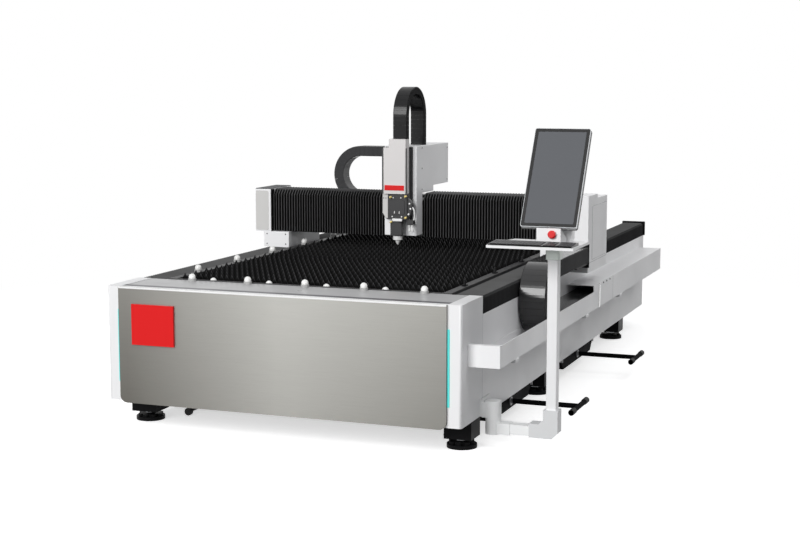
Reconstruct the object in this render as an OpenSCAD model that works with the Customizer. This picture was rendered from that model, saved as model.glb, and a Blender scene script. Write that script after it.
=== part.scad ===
// Flatbed fiber laser cutting machine, sheet format 3000 x 1500 mm.
// Millimetres. X runs across the bed, Y runs from the front to the back, Z is up.
// The origin is on the floor, under the middle of the bed.

/* [Bed] */
// Width of the bed over its two side beams
bed_w = 2000; // [1900:10:2200]
// Length of the bed from the front columns to the rear plate
bed_l = 4400; // [4300:10:4800]
// Height of the underside of the bed
bed_z = 151; // [140:1:170]
// Height of the side beams' top face
beam_top_z = 685; // [660:1:700]
// Height of the deck and of the bellows' crests
deck_z = 778; // [770:1:790]
// Width of each side beam
side_beam_w = 165; // [150:1:180]
// Wall of the side beams and of the cross tubes
frame_wall = 10; // [6:1:16]

/* [Front] */
// Depth of the front housing
front_d = 338; // [300:1:360]
// Width of each white front column
column_w = 73; // [60:1:90]
// Gap from the floor to the bottom of the front columns
column_z = 160; // [152:1:180]
// Radius of the columns' outer edges
column_r = 15; // [5:1:25]
// Wall of the front housing
housing_wall = 4; // [2:0.5:8]
// Gap between the steel front panel and each column's face
panel_gap = 2; // [1:0.5:4]
// How far the steel panel stands proud
panel_t = 17; // [10:1:25]
// Radius of the panel's lower corners
panel_r = 40; // [10:1:60]
// Thickness of the deck plate
deck_t = 12; // [6:1:16]
// Width of the square badge plate
badge_w = 252; // [150:1:300]
// Height of the badge plate
badge_h = 218; // [150:1:300]
// Thickness of the badge plate
badge_t = 13; // [4:1:20]
// Length of the light strips
led_l = 391; // [200:1:500]
// Width of the light strips
led_w = 11; // [6:1:20]

/* [Feet] */
// Distance of the feet's centres in from the bed's side
foot_inset = 88; // [80:1:110]
// Side of the square foot bracket
foot_bracket = 148; // [120:1:170]
// Height of the bracket's underside
foot_bracket_z = 53; // [45:1:70]
// Diameter of the foot pad
pad_d = 158; // [120:1:180]

/* [Table] */
// Length of one slat module
module_l = 1000; // [900:10:1000]
// Slats in one module
slats_per_module = 8; // [6:1:10]
// Width of the table's side bars
table_bar_w = 46; // [36:1:60]
// Thickness of a slat
slat_t = 5; // [2:0.5:8]
// Height of a slat
slat_h = 96; // [80:1:96]
// Depth of the teeth
tooth_d = 30; // [15:1:35]
// Teeth on one slat
teeth = 48; // [30:1:52]
// Diameter of the loading balls
ball_d = 38; // [30:1:45]

/* [Gantry] */
// Distance from the front of the bed to the front of the gantry at rest
gantry_y = 1980; // [1900:10:2100]
// Length of the saddles along the bed
saddle_l = 500; // [460:10:520]
// Height of the saddles above the bellows
saddle_h = 100; // [80:1:120]
// Depth of the beam from front to back
beam_d = 134; // [120:1:150]
// Height of the beam
beam_h = 232; // [200:1:250]
// Width of the guide rails
rail_w = 30; // [25:1:35]
// Height of the guide rails
rail_h = 28; // [24:1:32]
// Running clearance of sliding pieces
slide_gap = 0.4; // [0.3:0.05:0.6]

/* [Head] */
// Place of the carriage's centre on the beam at rest
carriage_x = -35; // [-100:5:100]
// Width of the carriage housing
carriage_w = 214; // [200:2:240]
// Height of the carriage housing's top
carriage_top = 1455; // [1400:5:1500]
// Height of the nozzle tip above the floor at rest
nozzle_z = 845; // [840:1:870]

/* [Chains] */
// Width of the chain along the bed
ychain_w = 152; // [120:2:152]
// Thickness of the chain along the bed
ychain_t = 98; // [60:1:98]
// Outer bend radius of the chain along the bed
ychain_r = 200; // [190:1:200]
// Width of the chain along the beam
xchain_w = 110; // [90:2:120]
// Thickness of the chain along the beam
xchain_t = 66; // [50:1:70]
// Outer bend radius of the chain along the beam
xchain_r = 188; // [180:1:190]
// Width of the chain over the head
zchain_w = 92; // [60:2:94]
// Thickness of the chain over the head
zchain_t = 45; // [30:1:45]
// Outer bend radius of the chain over the head
zchain_r = 180; // [170:1:182]

/* [Console] */
// Reach of the swing arm from its pivot to the pole
arm_reach = 312; // [300:1:330]
// Side of the square pole
pole_w = 54; // [45:1:60]
// Height of the keyboard tray's underside
tray_z = 1063; // [1000:1:1100]
// Width of the monitor
monitor_w = 286; // [260:1:310]
// Length of the monitor
monitor_l = 545; // [500:1:560]
// Lean of the monitor from upright
monitor_lean = 30; // [20:1:32]

/* [Drawers] */
// Width of a slag drawer along the bed
drawer_w = 800; // [700:10:800]
// Distance from the front of the bed to the front drawer's centre
drawer_front_y = 890; // [860:1:920]
// Distance between the two drawers' centres
drawer_pitch = 1506; // [1450:1:1550]
// Diameter of the pull rod
rod_d = 28; // [20:1:32]
// Length of the pull bar
pull_l = 344; // [200:2:360]

/* [Hidden] */
$fn = 64;

// Colours of the finishes
white = [0.93, 0.93, 0.92];
steel = [0.62, 0.61, 0.58];
grey = [0.55, 0.56, 0.57];
dark = [0.22, 0.22, 0.23];
black = [0.07, 0.07, 0.07];
red = [0.89, 0.15, 0.14];
cyan = [0.25, 0.88, 0.86];

half_w = bed_w / 2;
drawer_y = [drawer_front_y, drawer_front_y + drawer_pitch];
contact = 0.3;

// A box between two corners given as three ranges
module span(x, y, z) {
    translate([x[0], y[0], z[0]]) cube([x[1] - x[0], y[1] - y[0], z[1] - z[0]]);
}

// Puts the front plane of the bed at half its length before the origin
module from_front() { translate([0, -bed_l / 2, 0]) children(); }

// A piece and its mirror image on the other side of the bed
module both_sides() {
    children();
    mirror([1, 0, 0]) children();
}

// Extrudes a profile drawn in X and Z from y0 to y1
module along_y(y0, y1) { translate([0, y1, 0]) rotate([90, 0, 0]) linear_extrude(y1 - y0) children(); }

// Extrudes a profile drawn in Y and Z from x0 to x1
module along_x(x0, x1) { translate([x0, 0, 0]) rotate([90, 0, 90]) linear_extrude(x1 - x0) children(); }

// A range made smaller by d at both ends
function inset(r, d) = [r[0] + d, r[1] - d];

// A zigzag outline from a to b with n folds, closed along the line at base
function pleats(a, b, n, base, root, crest) = concat(
    [[a, base]],
    [for (i = [0:n - 1]) each [[a + (b - a) * i / n, root], [a + (b - a) * (i + 0.5) / n, crest]]],
    [[b, root], [b, base]]);

function swapped(points) = [for (p = points) [p[1], p[0]]];

// Bed

side_beam_x = [half_w - side_beam_w, half_w];
cross_tube_h = 110;
cross_tube_w = 90;
cross_tube_y = [front_d + 20, 1640, 3180, bed_l - 200];
rear_plate_t = 14;
rear_deck_t = 6;
rear_deck_z = beam_top_z - 25;
table_gap = 6;
guide_strip_t = 8;
guide_strip_z = bed_z - 19;

module bed_frame() color(white) from_front() {
    both_sides() difference() {
        span(side_beam_x, [front_d, bed_l], [bed_z, beam_top_z]);
        span(inset(side_beam_x, frame_wall), [front_d - 1, bed_l - rear_plate_t],
             inset([bed_z, beam_top_z], frame_wall));
    }
    for (y = cross_tube_y) difference() {
        span([-side_beam_x[0], side_beam_x[0]], [y, y + cross_tube_w], [bed_z, bed_z + cross_tube_h]);
        span([-side_beam_x[0], side_beam_x[0]], inset([y, y + cross_tube_w], frame_wall),
             inset([bed_z, bed_z + cross_tube_h], frame_wall));
    }
    span([-side_beam_x[0], side_beam_x[0]], [bed_l - rear_plate_t, bed_l], [bed_z, beam_top_z]);
    span([-side_beam_x[0], side_beam_x[0]], [table_y + table_l + table_gap, bed_l - rear_plate_t],
         [rear_deck_z - rear_deck_t, rear_deck_z]);
    both_sides() for (y = drawer_y, s = [-1, 1])
        translate([0, y + s * (drawer_w / 2 + contact + guide_strip_t / 2), 0])
            span(side_beam_x, [-guide_strip_t / 2, guide_strip_t / 2], [guide_strip_z, bed_z]);
}

// Funnels of folded sheet that lead the slag from the table into the drawers
hopper_wall = 4;
hopper_top = 660;
hopper_bottom = bed_z + 2;
hopper_taper = 0.94;
mouth_inset = 80;
hopper_ends = [[front_d + 115, 1632], [1736, 3172]];

module funnel(x, y_top, y_bottom) {
    hull() {
        span([-x, x], y_top, [hopper_top - 1, hopper_top]);
        span([-x * hopper_taper, x * hopper_taper], y_bottom, [hopper_bottom, hopper_bottom + 1]);
    }
}

module slag_hoppers() color(black) from_front() {
    for (i = [0, 1]) {
        mouth = inset([drawer_y[i] - drawer_w / 2, drawer_y[i] + drawer_w / 2], 30);
        difference() {
            funnel(side_beam_x[0], hopper_ends[i], mouth);
            translate([0, 0, hopper_wall])
                funnel(side_beam_x[0] - hopper_wall, inset(hopper_ends[i], hopper_wall),
                       inset(mouth, hopper_wall));
            span(inset([-side_beam_x[0], side_beam_x[0]], mouth_inset), inset(mouth, hopper_wall),
                 [hopper_bottom - 1, hopper_bottom + 2 * hopper_wall]);
        }
    }
}

// Front

column_x = [half_w - column_w, half_w];
panel_w = 2 * (column_x[0] - panel_gap);
panel_z = [column_z - 9, deck_z + 1];
lip_d = 20;
lip_h = 2;
deck_y = [lip_d, front_d + 7];
deck_tongue = side_beam_x[0] - 3;

module housing_plan() {
    difference() {
        translate([-half_w, 0]) square([bed_w, front_d]);
        for (s = [-1, 1]) translate([s * (half_w - column_r), 0]) difference() {
            translate([s > 0 ? 0 : -column_r, 0]) square(column_r);
            translate([0, column_r]) circle(column_r);
        }
    }
}

module front_housing() color(white) from_front() {
    difference() {
        translate([0, 0, column_z]) linear_extrude(deck_z + lip_h - column_z) housing_plan();
        span(inset([-half_w, half_w], housing_wall), [housing_wall, front_d - housing_wall],
             [column_z - 1, deck_z - deck_t - housing_wall]);
        span([-column_x[0], column_x[0]], [lip_d, front_d + 1], [deck_z - deck_t, deck_z + lip_h + 1]);
    }
}

module panel_outline(w, z0, z1, r) {
    difference() {
        translate([-w / 2, z0]) square([w, z1 - z0]);
        for (s = [-1, 1]) translate([s * (w / 2 - r), z0]) difference() {
            translate([s > 0 ? 0 : -r, 0]) square(r);
            translate([0, r]) circle(r);
        }
    }
}

module front_panel() color(steel) from_front() {
    along_y(-panel_t, 0) panel_outline(panel_w, panel_z[0], panel_z[1], panel_r);
}

module front_deck() color(grey) from_front() {
    span([-column_x[0], column_x[0]], [deck_y[0], front_d], [deck_z - deck_t, deck_z]);
    span([-deck_tongue, deck_tongue], deck_y, [deck_z - deck_t, deck_z]);
}

badge_edge = [85, 88];
badge_x = -panel_w / 2 + badge_edge[0] + badge_w / 2;
badge_z = panel_z[1] - badge_edge[1] - badge_h / 2;

module badge_plate() color(red) from_front() {
    translate([badge_x, -panel_t, badge_z]) rotate([90, 0, 0])
        linear_extrude(badge_t) square([badge_w, badge_h], center = true);
}

led_gap = 1;
led_z = panel_z[0] + 114;
led_proud = 4;

module led_strips() color(cyan) from_front() both_sides()
    span([panel_w / 2 + led_gap, panel_w / 2 + led_gap + led_w], [-led_proud, 0], [led_z, led_z + led_l]);

// Feet

foot_ys = [276, 1690, 3717];
stem_d = 44;
stud_d = 24;
stud_fit = 0.6;
stud_rise = 60;
pad_h = 20;
lug_count = 8;
lug_d = 34;
lug_h = 14;
lug_inset = 26;

module at_feet() from_front() both_sides() for (y = foot_ys) translate([half_w - foot_inset, y, 0]) children();

module foot_brackets() color(black) at_feet() difference() {
    translate([-foot_bracket / 2, -foot_bracket / 2, foot_bracket_z])
        cube([foot_bracket, foot_bracket, bed_z - foot_bracket_z]);
    translate([0, 0, foot_bracket_z - 1]) cylinder(d = stud_d + stud_fit, h = stud_rise + 11);
}

module foot_pads() color(black) at_feet() {
    cylinder(d = pad_d, h = pad_h);
    for (i = [0:lug_count - 1]) rotate(i * 360 / lug_count)
        translate([pad_d / 2 - lug_inset, 0, 0]) cylinder(d = lug_d, h = pad_h + lug_h);
    cylinder(d = pad_d - 2 * lug_inset, h = pad_h + lug_h);
    cylinder(d = stem_d, h = foot_bracket_z);
    cylinder(d = stud_d, h = foot_bracket_z + stud_rise);
}

// Cutting table

table_y = front_d + 10;
table_side_gap = 9;
table_bar_x = [side_beam_x[0] - table_side_gap - table_bar_w, side_beam_x[0] - table_side_gap];
slat_end_gap = 10;
slat_l = 2 * (table_bar_x[0] - slat_end_gap);
slat_fit = 0.5;
slat_proud = 30;
slat_pitch = module_l / slats_per_module;
slat_foot_z = deck_z + slat_proud - slat_h;
ledge_w = 36;
ledge_t = 12;
comb_t = 8;
comb_h = 36;
table_bar_z = [slat_foot_z - ledge_t, deck_z + 4];
table_l = 3 * module_l;
front_bar_w = 56;
front_bar_z = deck_z - 26;
upstand_t = 12;
rear_bar_w = 20;
post_half = 14;

function slat_y(m, i) = table_y + m * module_l + (i + 0.5) * slat_pitch;

module table_frame() color(dark) from_front() {
    difference() {
        both_sides() {
            span(table_bar_x, [table_y, table_y + table_l], table_bar_z);
            span([table_bar_x[0] - ledge_w, table_bar_x[0]], [table_y, table_y + table_l],
                 [table_bar_z[0], slat_foot_z]);
            span([table_bar_x[0] - ledge_w, table_bar_x[0] - ledge_w + comb_t],
                 [table_y, table_y + table_l], [slat_foot_z, slat_foot_z + comb_h]);
        }
        for (m = [0:2], i = [0:slats_per_module - 1])
            span([-table_bar_x[0], table_bar_x[0]], inset([slat_y(m, i), slat_y(m, i)], -slat_t / 2 - slat_fit),
                 [slat_foot_z, slat_foot_z + comb_h + 1]);
    }
    span([-table_bar_x[0], table_bar_x[0]], [table_y, table_y + front_bar_w], [table_bar_z[0], front_bar_z]);
    span([-table_bar_x[0], table_bar_x[0]], [table_y, table_y + upstand_t], [front_bar_z, table_bar_z[1]]);
    span([-table_bar_x[0], table_bar_x[0]], [table_y + table_l - rear_bar_w, table_y + table_l], table_bar_z);
    for (y = cross_tube_y, s = [-1, 1]) if (y < table_y + table_l)
        span(inset([s * (table_bar_x[1] - post_half), s * (table_bar_x[1] - post_half)], -post_half),
             [max(y, table_y), y + cross_tube_w], [bed_z + cross_tube_h, table_bar_z[0]]);
}

// One sawtooth blade, standing on its long straight edge
module slat(shift) {
    pitch = slat_l / teeth;
    tip = slat_foot_z + slat_h;
    outline = concat(
        [[-slat_l / 2, slat_foot_z]],
        [for (i = [0:teeth - 1]) each [[-slat_l / 2 + i * pitch, tip - tooth_d],
                                       [-slat_l / 2 + (i + 0.5 + shift) * pitch, tip]]],
        [[slat_l / 2, tip - tooth_d], [slat_l / 2, slat_foot_z]]);
    along_y(-slat_t / 2, slat_t / 2) polygon(outline);
}

module slat_module(m, shift) color(black) from_front()
    for (i = [0:slats_per_module - 1]) translate([0, slat_y(m, i), 0]) slat(shift);

module slats_front() slat_module(0, 0);
module slats_middle() slat_module(1, 0.3);
module slats_rear() slat_module(2, 0);

// Loading balls in cups, on the deck's rear edge, on the table's front bar and on its left bar
cup_d = ball_d + 6;
cup_h = 14;
cup_floor = 3;
ball_edge = 159;
ball_pitch = (side_beam_x[0] - ball_edge) / 2;
ball_shift = 14;
bar_ball_shift = ball_shift + 98;
deck_ball_x = [for (i = [-2:2]) ball_shift + i * ball_pitch];
bar_ball_x = [for (i = [-2:1]) bar_ball_shift + i * ball_pitch];
side_ball_first = 306;
side_ball_pitch = 490;
side_ball_y = [for (i = [0:4]) table_y + side_ball_first + i * side_ball_pitch];

module at_balls() from_front() {
    for (x = deck_ball_x) translate([x, deck_y[1] - cup_d / 2 - 2, deck_z]) children();
    for (x = bar_ball_x) translate([x, table_y + upstand_t + cup_d / 2, front_bar_z]) children();
    for (y = side_ball_y) translate([-(table_bar_x[0] + table_bar_x[1]) / 2, y, table_bar_z[1]]) children();
}

module ball_cups() color(white) at_balls() difference() {
    cylinder(d = cup_d, h = cup_h);
    translate([0, 0, ball_d / 2 + cup_floor]) sphere(d = ball_d + 2 * contact);
}

module loading_balls() color(white) at_balls() translate([0, 0, ball_d / 2 + cup_floor]) sphere(d = ball_d);

stop_first = 292;
stop_pitch = 550;
stop_ys = [for (i = [0:4]) table_y + stop_first + i * stop_pitch];

module sheet_stops() color(dark) from_front() for (y = stop_ys)
    translate([(table_bar_x[0] + table_bar_x[1]) / 2, y, table_bar_z[1]]) {
        translate([-12, -18, 0]) cube([24, 36, 6]);
        along_x(-4, 4) polygon([[-14, 6], [14, 6], [5, 34], [-5, 34]]);
    }

// Guide rails and bellows along the bed

y_rail_x = [half_w - side_beam_w / 2 - rail_w / 2, half_w - side_beam_w / 2 + rail_w / 2];
bellows_x = [side_beam_x[0] + 3, half_w];
y_fold = 72;
y_fold_d = 14;
bellows_t = 26;
end_plate_t = 12;
end_plate_proud = 12;
skirt_t = 8;

module y_rails() color(grey) from_front() both_sides()
    span(y_rail_x, [front_d + 12, bed_l - 20], [beam_top_z, beam_top_z + rail_h]);

module bellows_side(y0, y1) {
    n = round((y1 - y0) / y_fold);
    base_z = deck_z - bellows_t;
    along_x(bellows_x[0], bellows_x[1])
        polygon(pleats(y0, y1, n, base_z, deck_z - y_fold_d, deck_z));
    translate([0, 0, beam_top_z]) linear_extrude(base_z - beam_top_z)
        polygon(swapped(pleats(y0, y1, n, bellows_x[1] - bellows_t, bellows_x[1] - y_fold_d, bellows_x[1])));
    span([bellows_x[0], bellows_x[0] + skirt_t], [y0, y1], [beam_top_z, base_z]);
}

module y_bellows_front() color(black) from_front() both_sides()
    bellows_side(front_d, gantry_y - contact);

module y_bellows_rear() color(black) from_front() both_sides() {
    bellows_side(gantry_y + saddle_l + contact, bed_l - end_plate_t);
    span([bellows_x[0], bellows_x[1] + end_plate_proud], [bed_l - end_plate_t, bed_l],
         [beam_top_z, deck_z + end_plate_proud]);
}

// Cable tray and drag chain along the bed

tray_x = [half_w, half_w + 168];
tray_y = [92, 4225];
tray_floor_z = 457;
tray_wall_z = 570;
tray_wall = 4;
tray_nose = 36;
cover_y0 = 2080;
cover_top_z = 610;
chain_floor_z = tray_floor_z + tray_wall + contact;
ychain_x = [tray_x[0] + 5, tray_x[0] + 5 + ychain_w];
ychain_reach = 1008;
ychain_loop_y = gantry_y - ychain_reach + ychain_r;
ychain_end_y = gantry_y - 8;
ychain_fixed_y = gantry_y + 320;

module cable_tray() color(white) from_front() difference() {
    span(tray_x, tray_y, [tray_floor_z, tray_wall_z]);
    span(inset(tray_x, tray_wall), [tray_y[0] + tray_nose, tray_y[1] - tray_wall],
         [tray_floor_z + tray_wall, tray_wall_z + 1]);
    span([tray_x[0] - 1, tray_x[0] + tray_wall + 1], [tray_y[0] + tray_nose, tray_y[1] - tray_wall],
         [tray_floor_z + 50, tray_wall_z + 1]);
    span(inset(tray_x, tray_wall), [tray_y[0] + tray_wall, tray_y[0] + tray_nose - tray_wall],
         [tray_floor_z - 1, tray_wall_z - tray_wall]);
}

module tray_cover() color(white) from_front() difference() {
    span(tray_x, [cover_y0, tray_y[1]], [tray_wall_z, cover_top_z]);
    span([tray_x[0] - 1, tray_x[1] - tray_wall], [cover_y0 - 1, tray_y[1] - tray_wall],
         [tray_wall_z - 1, cover_top_z - tray_wall]);
}

// A drag chain's side view: a half turn about the origin that joins two straight runs.
// The runs go towards +x, the upper one by up and the lower one by low.
module chain_runs(r, t, up, low) {
    difference() {
        circle(r);
        circle(r - t);
        translate([0, -r - 1]) square(2 * r + 2);
    }
    translate([0, r - t]) square([up, t]);
    translate([0, -r]) square([low, t]);
}

module y_chain() color(dark) from_front() translate([0, ychain_loop_y, chain_floor_z + ychain_r])
    along_x(ychain_x[0], ychain_x[1])
        chain_runs(ychain_r, ychain_t, ychain_end_y - ychain_loop_y, ychain_fixed_y - ychain_loop_y);

// Gantry

saddle_x = [bellows_x[0] + 11, half_w + 29];
saddle_y = [gantry_y, gantry_y + saddle_l];
saddle_z = [deck_z, deck_z + saddle_h];
saddle_foot_z = deck_z - 36;
saddle_foot_x = [saddle_x[0] + 6, half_w - 6];
guide_block_l = 130;
guide_block_w = 72;
guide_block_inset = 20;

module saddles() color(white) from_front() both_sides() {
    span(saddle_x, saddle_y, saddle_z);
    span(saddle_foot_x, saddle_y, [saddle_foot_z, saddle_z[0]]);
}

module y_guide_blocks() color(dark) from_front() both_sides()
    for (y = [saddle_y[0] + guide_block_inset, saddle_y[1] - guide_block_inset - guide_block_l]) {
        mid = half_w - side_beam_w / 2;
        difference() {
            span([mid - guide_block_w / 2, mid + guide_block_w / 2], [y, y + guide_block_l],
                 [beam_top_z + 6, saddle_foot_z]);
            span(inset(y_rail_x, -slide_gap), [y - 1, y + guide_block_l + 1],
                 [beam_top_z, beam_top_z + rail_h + slide_gap]);
        }
    }

beam_y = [gantry_y + 100, gantry_y + 100 + beam_d];
beam_z = [saddle_z[1], saddle_z[1] + beam_h];
beam_half = half_w + 84;
beam_wall = 10;

module gantry_beam() color(white) from_front() difference() {
    span([-beam_half, beam_half], beam_y, beam_z);
    span([-beam_half - 1, beam_half + 1], inset(beam_y, beam_wall), inset(beam_z, beam_wall));
}

cap_left_over = [88, 23];
cap_right_over = [15, 150];
cap_left_x = [-half_w - cap_left_over[0], -half_w + cap_left_over[1]];
cap_right_x = [half_w - cap_right_over[0], half_w + cap_right_over[1]];
x_rail_rise = 67;
x_rail_pitch = 100;
x_rail_z = [beam_z[0] + x_rail_rise, beam_z[0] + x_rail_rise + x_rail_pitch];

module x_rails() color(grey) from_front() for (z = x_rail_z)
    span([cap_left_x[1] + 10, cap_right_x[0] - 10], [beam_y[0] - rail_h, beam_y[0]],
         [z - rail_w / 2, z + rail_w / 2]);

// End covers: folded sheet boxes over the ends of the beam
cover_wall = 4;
cap_top_z = 1157;
cap_rear_top_z = 1142;
cap_step_y = beam_y[1] + 2;
cap_left_y = [gantry_y, gantry_y + 320];
leg_x0 = saddle_x[1];
leg_z0 = 700;

module beam_window(x) span([x - 1, x + cover_wall + 1], inset(beam_y, -1), [beam_z[0] - 1, beam_z[1] + 1]);

module end_cover_left() color(white) from_front() difference() {
    span(cap_left_x, cap_left_y, [beam_z[0], cap_top_z]);
    span(inset(cap_left_x, cover_wall), inset(cap_left_y, cover_wall), [beam_z[0] - 1, cap_top_z - cover_wall]);
    beam_window(cap_left_x[1] - cover_wall);
}

module leg_profile(top, d) {
    polygon([[leg_x0 + d, leg_z0 + d], [cap_right_x[1] - d, leg_z0 + d], [cap_right_x[1] - d, top - d],
             [cap_right_x[0] + d, top - d], [cap_right_x[0] + d, beam_z[0] + d], [leg_x0 + d, beam_z[0] + d]]);
}

module end_cover_right() color(white) from_front() difference() {
    union() {
        along_y(saddle_y[0], cap_step_y) leg_profile(cap_top_z + 11, 0);
        along_y(cap_step_y, saddle_y[1]) leg_profile(cap_rear_top_z, 0);
    }
    along_y(saddle_y[0] + cover_wall, saddle_y[1] - cover_wall) leg_profile(cap_rear_top_z, cover_wall);
    beam_window(cap_right_x[0]);
    span([cap_right_x[0] - 1, leg_x0 + cover_wall], inset(beam_y, -1),
         [beam_z[0] - 1, beam_z[0] + cover_wall + 1]);
}

// Plate that carries the upper end of the drag chain, bolted to the front of the right leg
chain_plate_t = 8;
chain_shelf_l = 290;
ychain_top_z = chain_floor_z + 2 * ychain_r;

module y_chain_bracket() color(dark) from_front() {
    span([ychain_x[0] - 2, ychain_x[1] + 2], [gantry_y - chain_plate_t, gantry_y],
         [ychain_top_z - ychain_t - 30, ychain_top_z + 16]);
    span(inset(ychain_x, 4), [gantry_y - chain_shelf_l, gantry_y - chain_plate_t],
         [ychain_top_z - ychain_t - contact - chain_plate_t, ychain_top_z - ychain_t - contact]);
}

// Bellows along the beam
x_bellows_y = [gantry_y + 30, beam_y[1]];
x_bellows_top = 1156;
x_bellows_t = 24;
x_fold = 36;
x_fold_d = 10;
x_chamfer = 33;
carriage_side = [carriage_x - carriage_w / 2, carriage_x + carriage_w / 2];

module beam_bellows(x0, x1) {
    n = round((x1 - x0) / x_fold);
    base_y = x_bellows_y[0] + x_bellows_t;
    base_z = x_bellows_top - x_bellows_t;
    difference() {
        union() {
            translate([0, 0, beam_z[0]]) linear_extrude(base_z - beam_z[0])
                polygon(pleats(x0, x1, n, base_y, x_bellows_y[0] + x_fold_d, x_bellows_y[0]));
            along_y(x_bellows_y[0], x_bellows_y[1])
                polygon(pleats(x0, x1, n, base_z, x_bellows_top - x_fold_d, x_bellows_top));
        }
        along_x(x0 - 1, x1 + 1)
            polygon([[x_bellows_y[0] - 1, x_bellows_top - x_chamfer - 1],
                     [x_bellows_y[0] + x_chamfer + 1, x_bellows_top + 1],
                     [x_bellows_y[0] - 1, x_bellows_top + 1]]);
    }
}

module x_bellows() color(black) from_front() {
    beam_bellows(cap_left_x[1], carriage_side[0] - contact);
    beam_bellows(carriage_side[1] + contact, cap_right_x[0]);
}

// Drag chain along the beam, in a tray behind it
xchain_y = [gantry_y + 340, gantry_y + 340 + xchain_w];
xchain_loop_reach = 447;
xchain_loop_x = carriage_x - xchain_loop_reach;
xchain_loop_z = 1242;
xchain_fixed_reach = 85;
xchain_fixed_x = carriage_x + xchain_fixed_reach;
xchain_end_x = carriage_side[1] - 32;
x_tray_t = 6;
x_tray_lip = 24;
x_tray_ends = [17, 60];
x_tray_z = xchain_loop_z - xchain_r - contact;

module x_chain_tray() color(white) from_front() {
    tray_span = [cap_left_x[1] + x_tray_ends[0], xchain_fixed_x + x_tray_ends[1]];
    back_y = xchain_y[1] + 15;
    span(tray_span, [beam_y[1], back_y], [x_tray_z - x_tray_t, x_tray_z]);
    span(tray_span, [back_y - x_tray_t, back_y], [x_tray_z, x_tray_z + x_tray_lip]);
}

module x_chain() color(dark) from_front() translate([xchain_loop_x, 0, xchain_loop_z])
    along_y(xchain_y[0], xchain_y[1])
        chain_runs(xchain_r, xchain_t, xchain_end_x - xchain_loop_x, xchain_fixed_x - xchain_loop_x);

// Carriage

carriage_over = [85, 23, 524];
carriage_front = gantry_y - carriage_over[0];
carriage_back = gantry_y + carriage_over[1];
carriage_rear = gantry_y + carriage_over[2];
carriage_low_z = 895;
carriage_step_z = x_bellows_top + 2;
carriage_rear_z = 1194;
carriage_wall = 4;
window_gap = 6;
plate_inset = 4;
x_block_w = 60;
x_block_l = 80;

module carriage_plate() color(grey) from_front() {
    span(inset(carriage_side, plate_inset), [carriage_back, x_bellows_y[0] + x_bellows_t],
         [carriage_low_z + 8, beam_z[1] - 2]);
    for (z = x_rail_z, x = [carriage_side[0] + plate_inset, carriage_side[1] - plate_inset - x_block_l])
        difference() {
            span([x, x + x_block_l], [x_bellows_y[0] + x_bellows_t, beam_y[0] - 4],
                 [z - x_block_w / 2, z + x_block_w / 2]);
            span([x - 1, x + x_block_l + 1], [beam_y[0] - rail_h - slide_gap, beam_y[0]],
                 inset([z - rail_w / 2, z + rail_w / 2], -slide_gap));
        }
}

module carriage_outline(d) {
    polygon([[carriage_front + d, carriage_low_z + d], [carriage_back - d, carriage_low_z + d],
             [carriage_back - d, carriage_step_z + d], [beam_y[1] - d, carriage_step_z + d],
             [beam_y[1] - d, carriage_rear_z + d], [carriage_rear - d, carriage_rear_z + d],
             [carriage_rear - d, carriage_top - d], [carriage_front + d, carriage_top - d]]);
}

module carriage_housing() color(white) from_front() {
    chain_z = [xchain_loop_z + xchain_r - xchain_t, xchain_loop_z + xchain_r];
    difference() {
        along_x(carriage_side[0], carriage_side[1]) carriage_outline(0);
        along_x(carriage_side[0] + carriage_wall, carriage_side[1] - carriage_wall)
            carriage_outline(carriage_wall);
        span([carriage_side[0] - 1, carriage_side[0] + carriage_wall + 1],
             inset(xchain_y, -window_gap), inset(chain_z, -window_gap));
    }
    span([xchain_end_x - 110, carriage_side[1] - carriage_wall], xchain_y,
         [chain_z[0] - contact - x_tray_t, chain_z[0] - contact]);
}

// Vertical guide of the head
z_guide_x = [carriage_x - 95, carriage_x + 83];
z_guide_t = 16;
z_rail_w = 16;
z_rail_t = 12;
z_rail_x = [carriage_x - 70, carriage_x + 58];
z_guide_z = [1000, carriage_top - 3];

module z_guide() color(dark) from_front() {
    span(z_guide_x, [carriage_front - z_guide_t, carriage_front], z_guide_z);
    for (x = z_rail_x) span([x - z_rail_w / 2, x + z_rail_w / 2],
                            [carriage_front - z_guide_t - z_rail_t, carriage_front - z_guide_t], z_guide_z);
}

// Head

head_x = carriage_x + 5;
slide_front = carriage_front - 47;
z_slide_z = [1010, 1440];

module z_slide() color(dark) from_front() difference() {
    span(inset(z_guide_x, 8), [slide_front, carriage_front - z_guide_t - 4], z_slide_z);
    for (x = z_rail_x) span(inset([x - z_rail_w / 2, x + z_rail_w / 2], -slide_gap),
                            [carriage_front - z_guide_t - z_rail_t - slide_gap, carriage_front],
                            inset(z_slide_z, -1));
}

// A rectangle with round corners
module rounded(w, h, r) {
    square([w - 2 * r, h], center = true);
    square([w, h - 2 * r], center = true);
    for (x = [-1, 1], y = [-1, 1]) translate([x * (w / 2 - r), y * (h / 2 - r)]) circle(r);
}

z_cover_x = [carriage_x - 74, carriage_x + 74];
z_cover_y = [slide_front - 63, slide_front];
z_cover_z = [1165, 1450];
z_cap_z = 1504;

module z_cover() color(white) from_front() {
    mid_y = (z_cover_y[0] + z_cover_y[1]) / 2;
    translate([carriage_x, mid_y, z_cover_z[0]]) linear_extrude(z_cover_z[1] - z_cover_z[0])
        rounded(z_cover_x[1] - z_cover_x[0], z_cover_y[1] - z_cover_y[0], 5);
    span([z_cover_x[0] + 37, z_cover_x[1]], [z_cover_y[0], z_cover_y[1] + 4], [z_cover_z[1], z_cap_z]);
}

cover_badge_h = 31;
cover_badge_t = 4;

module cover_badge() color(red) from_front()
    span([z_cover_x[0] + 10, z_cover_x[1] - 10], [z_cover_y[0] - cover_badge_t, z_cover_y[0]],
         [z_cover_z[0] + 22, z_cover_z[0] + 22 + cover_badge_h]);

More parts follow.
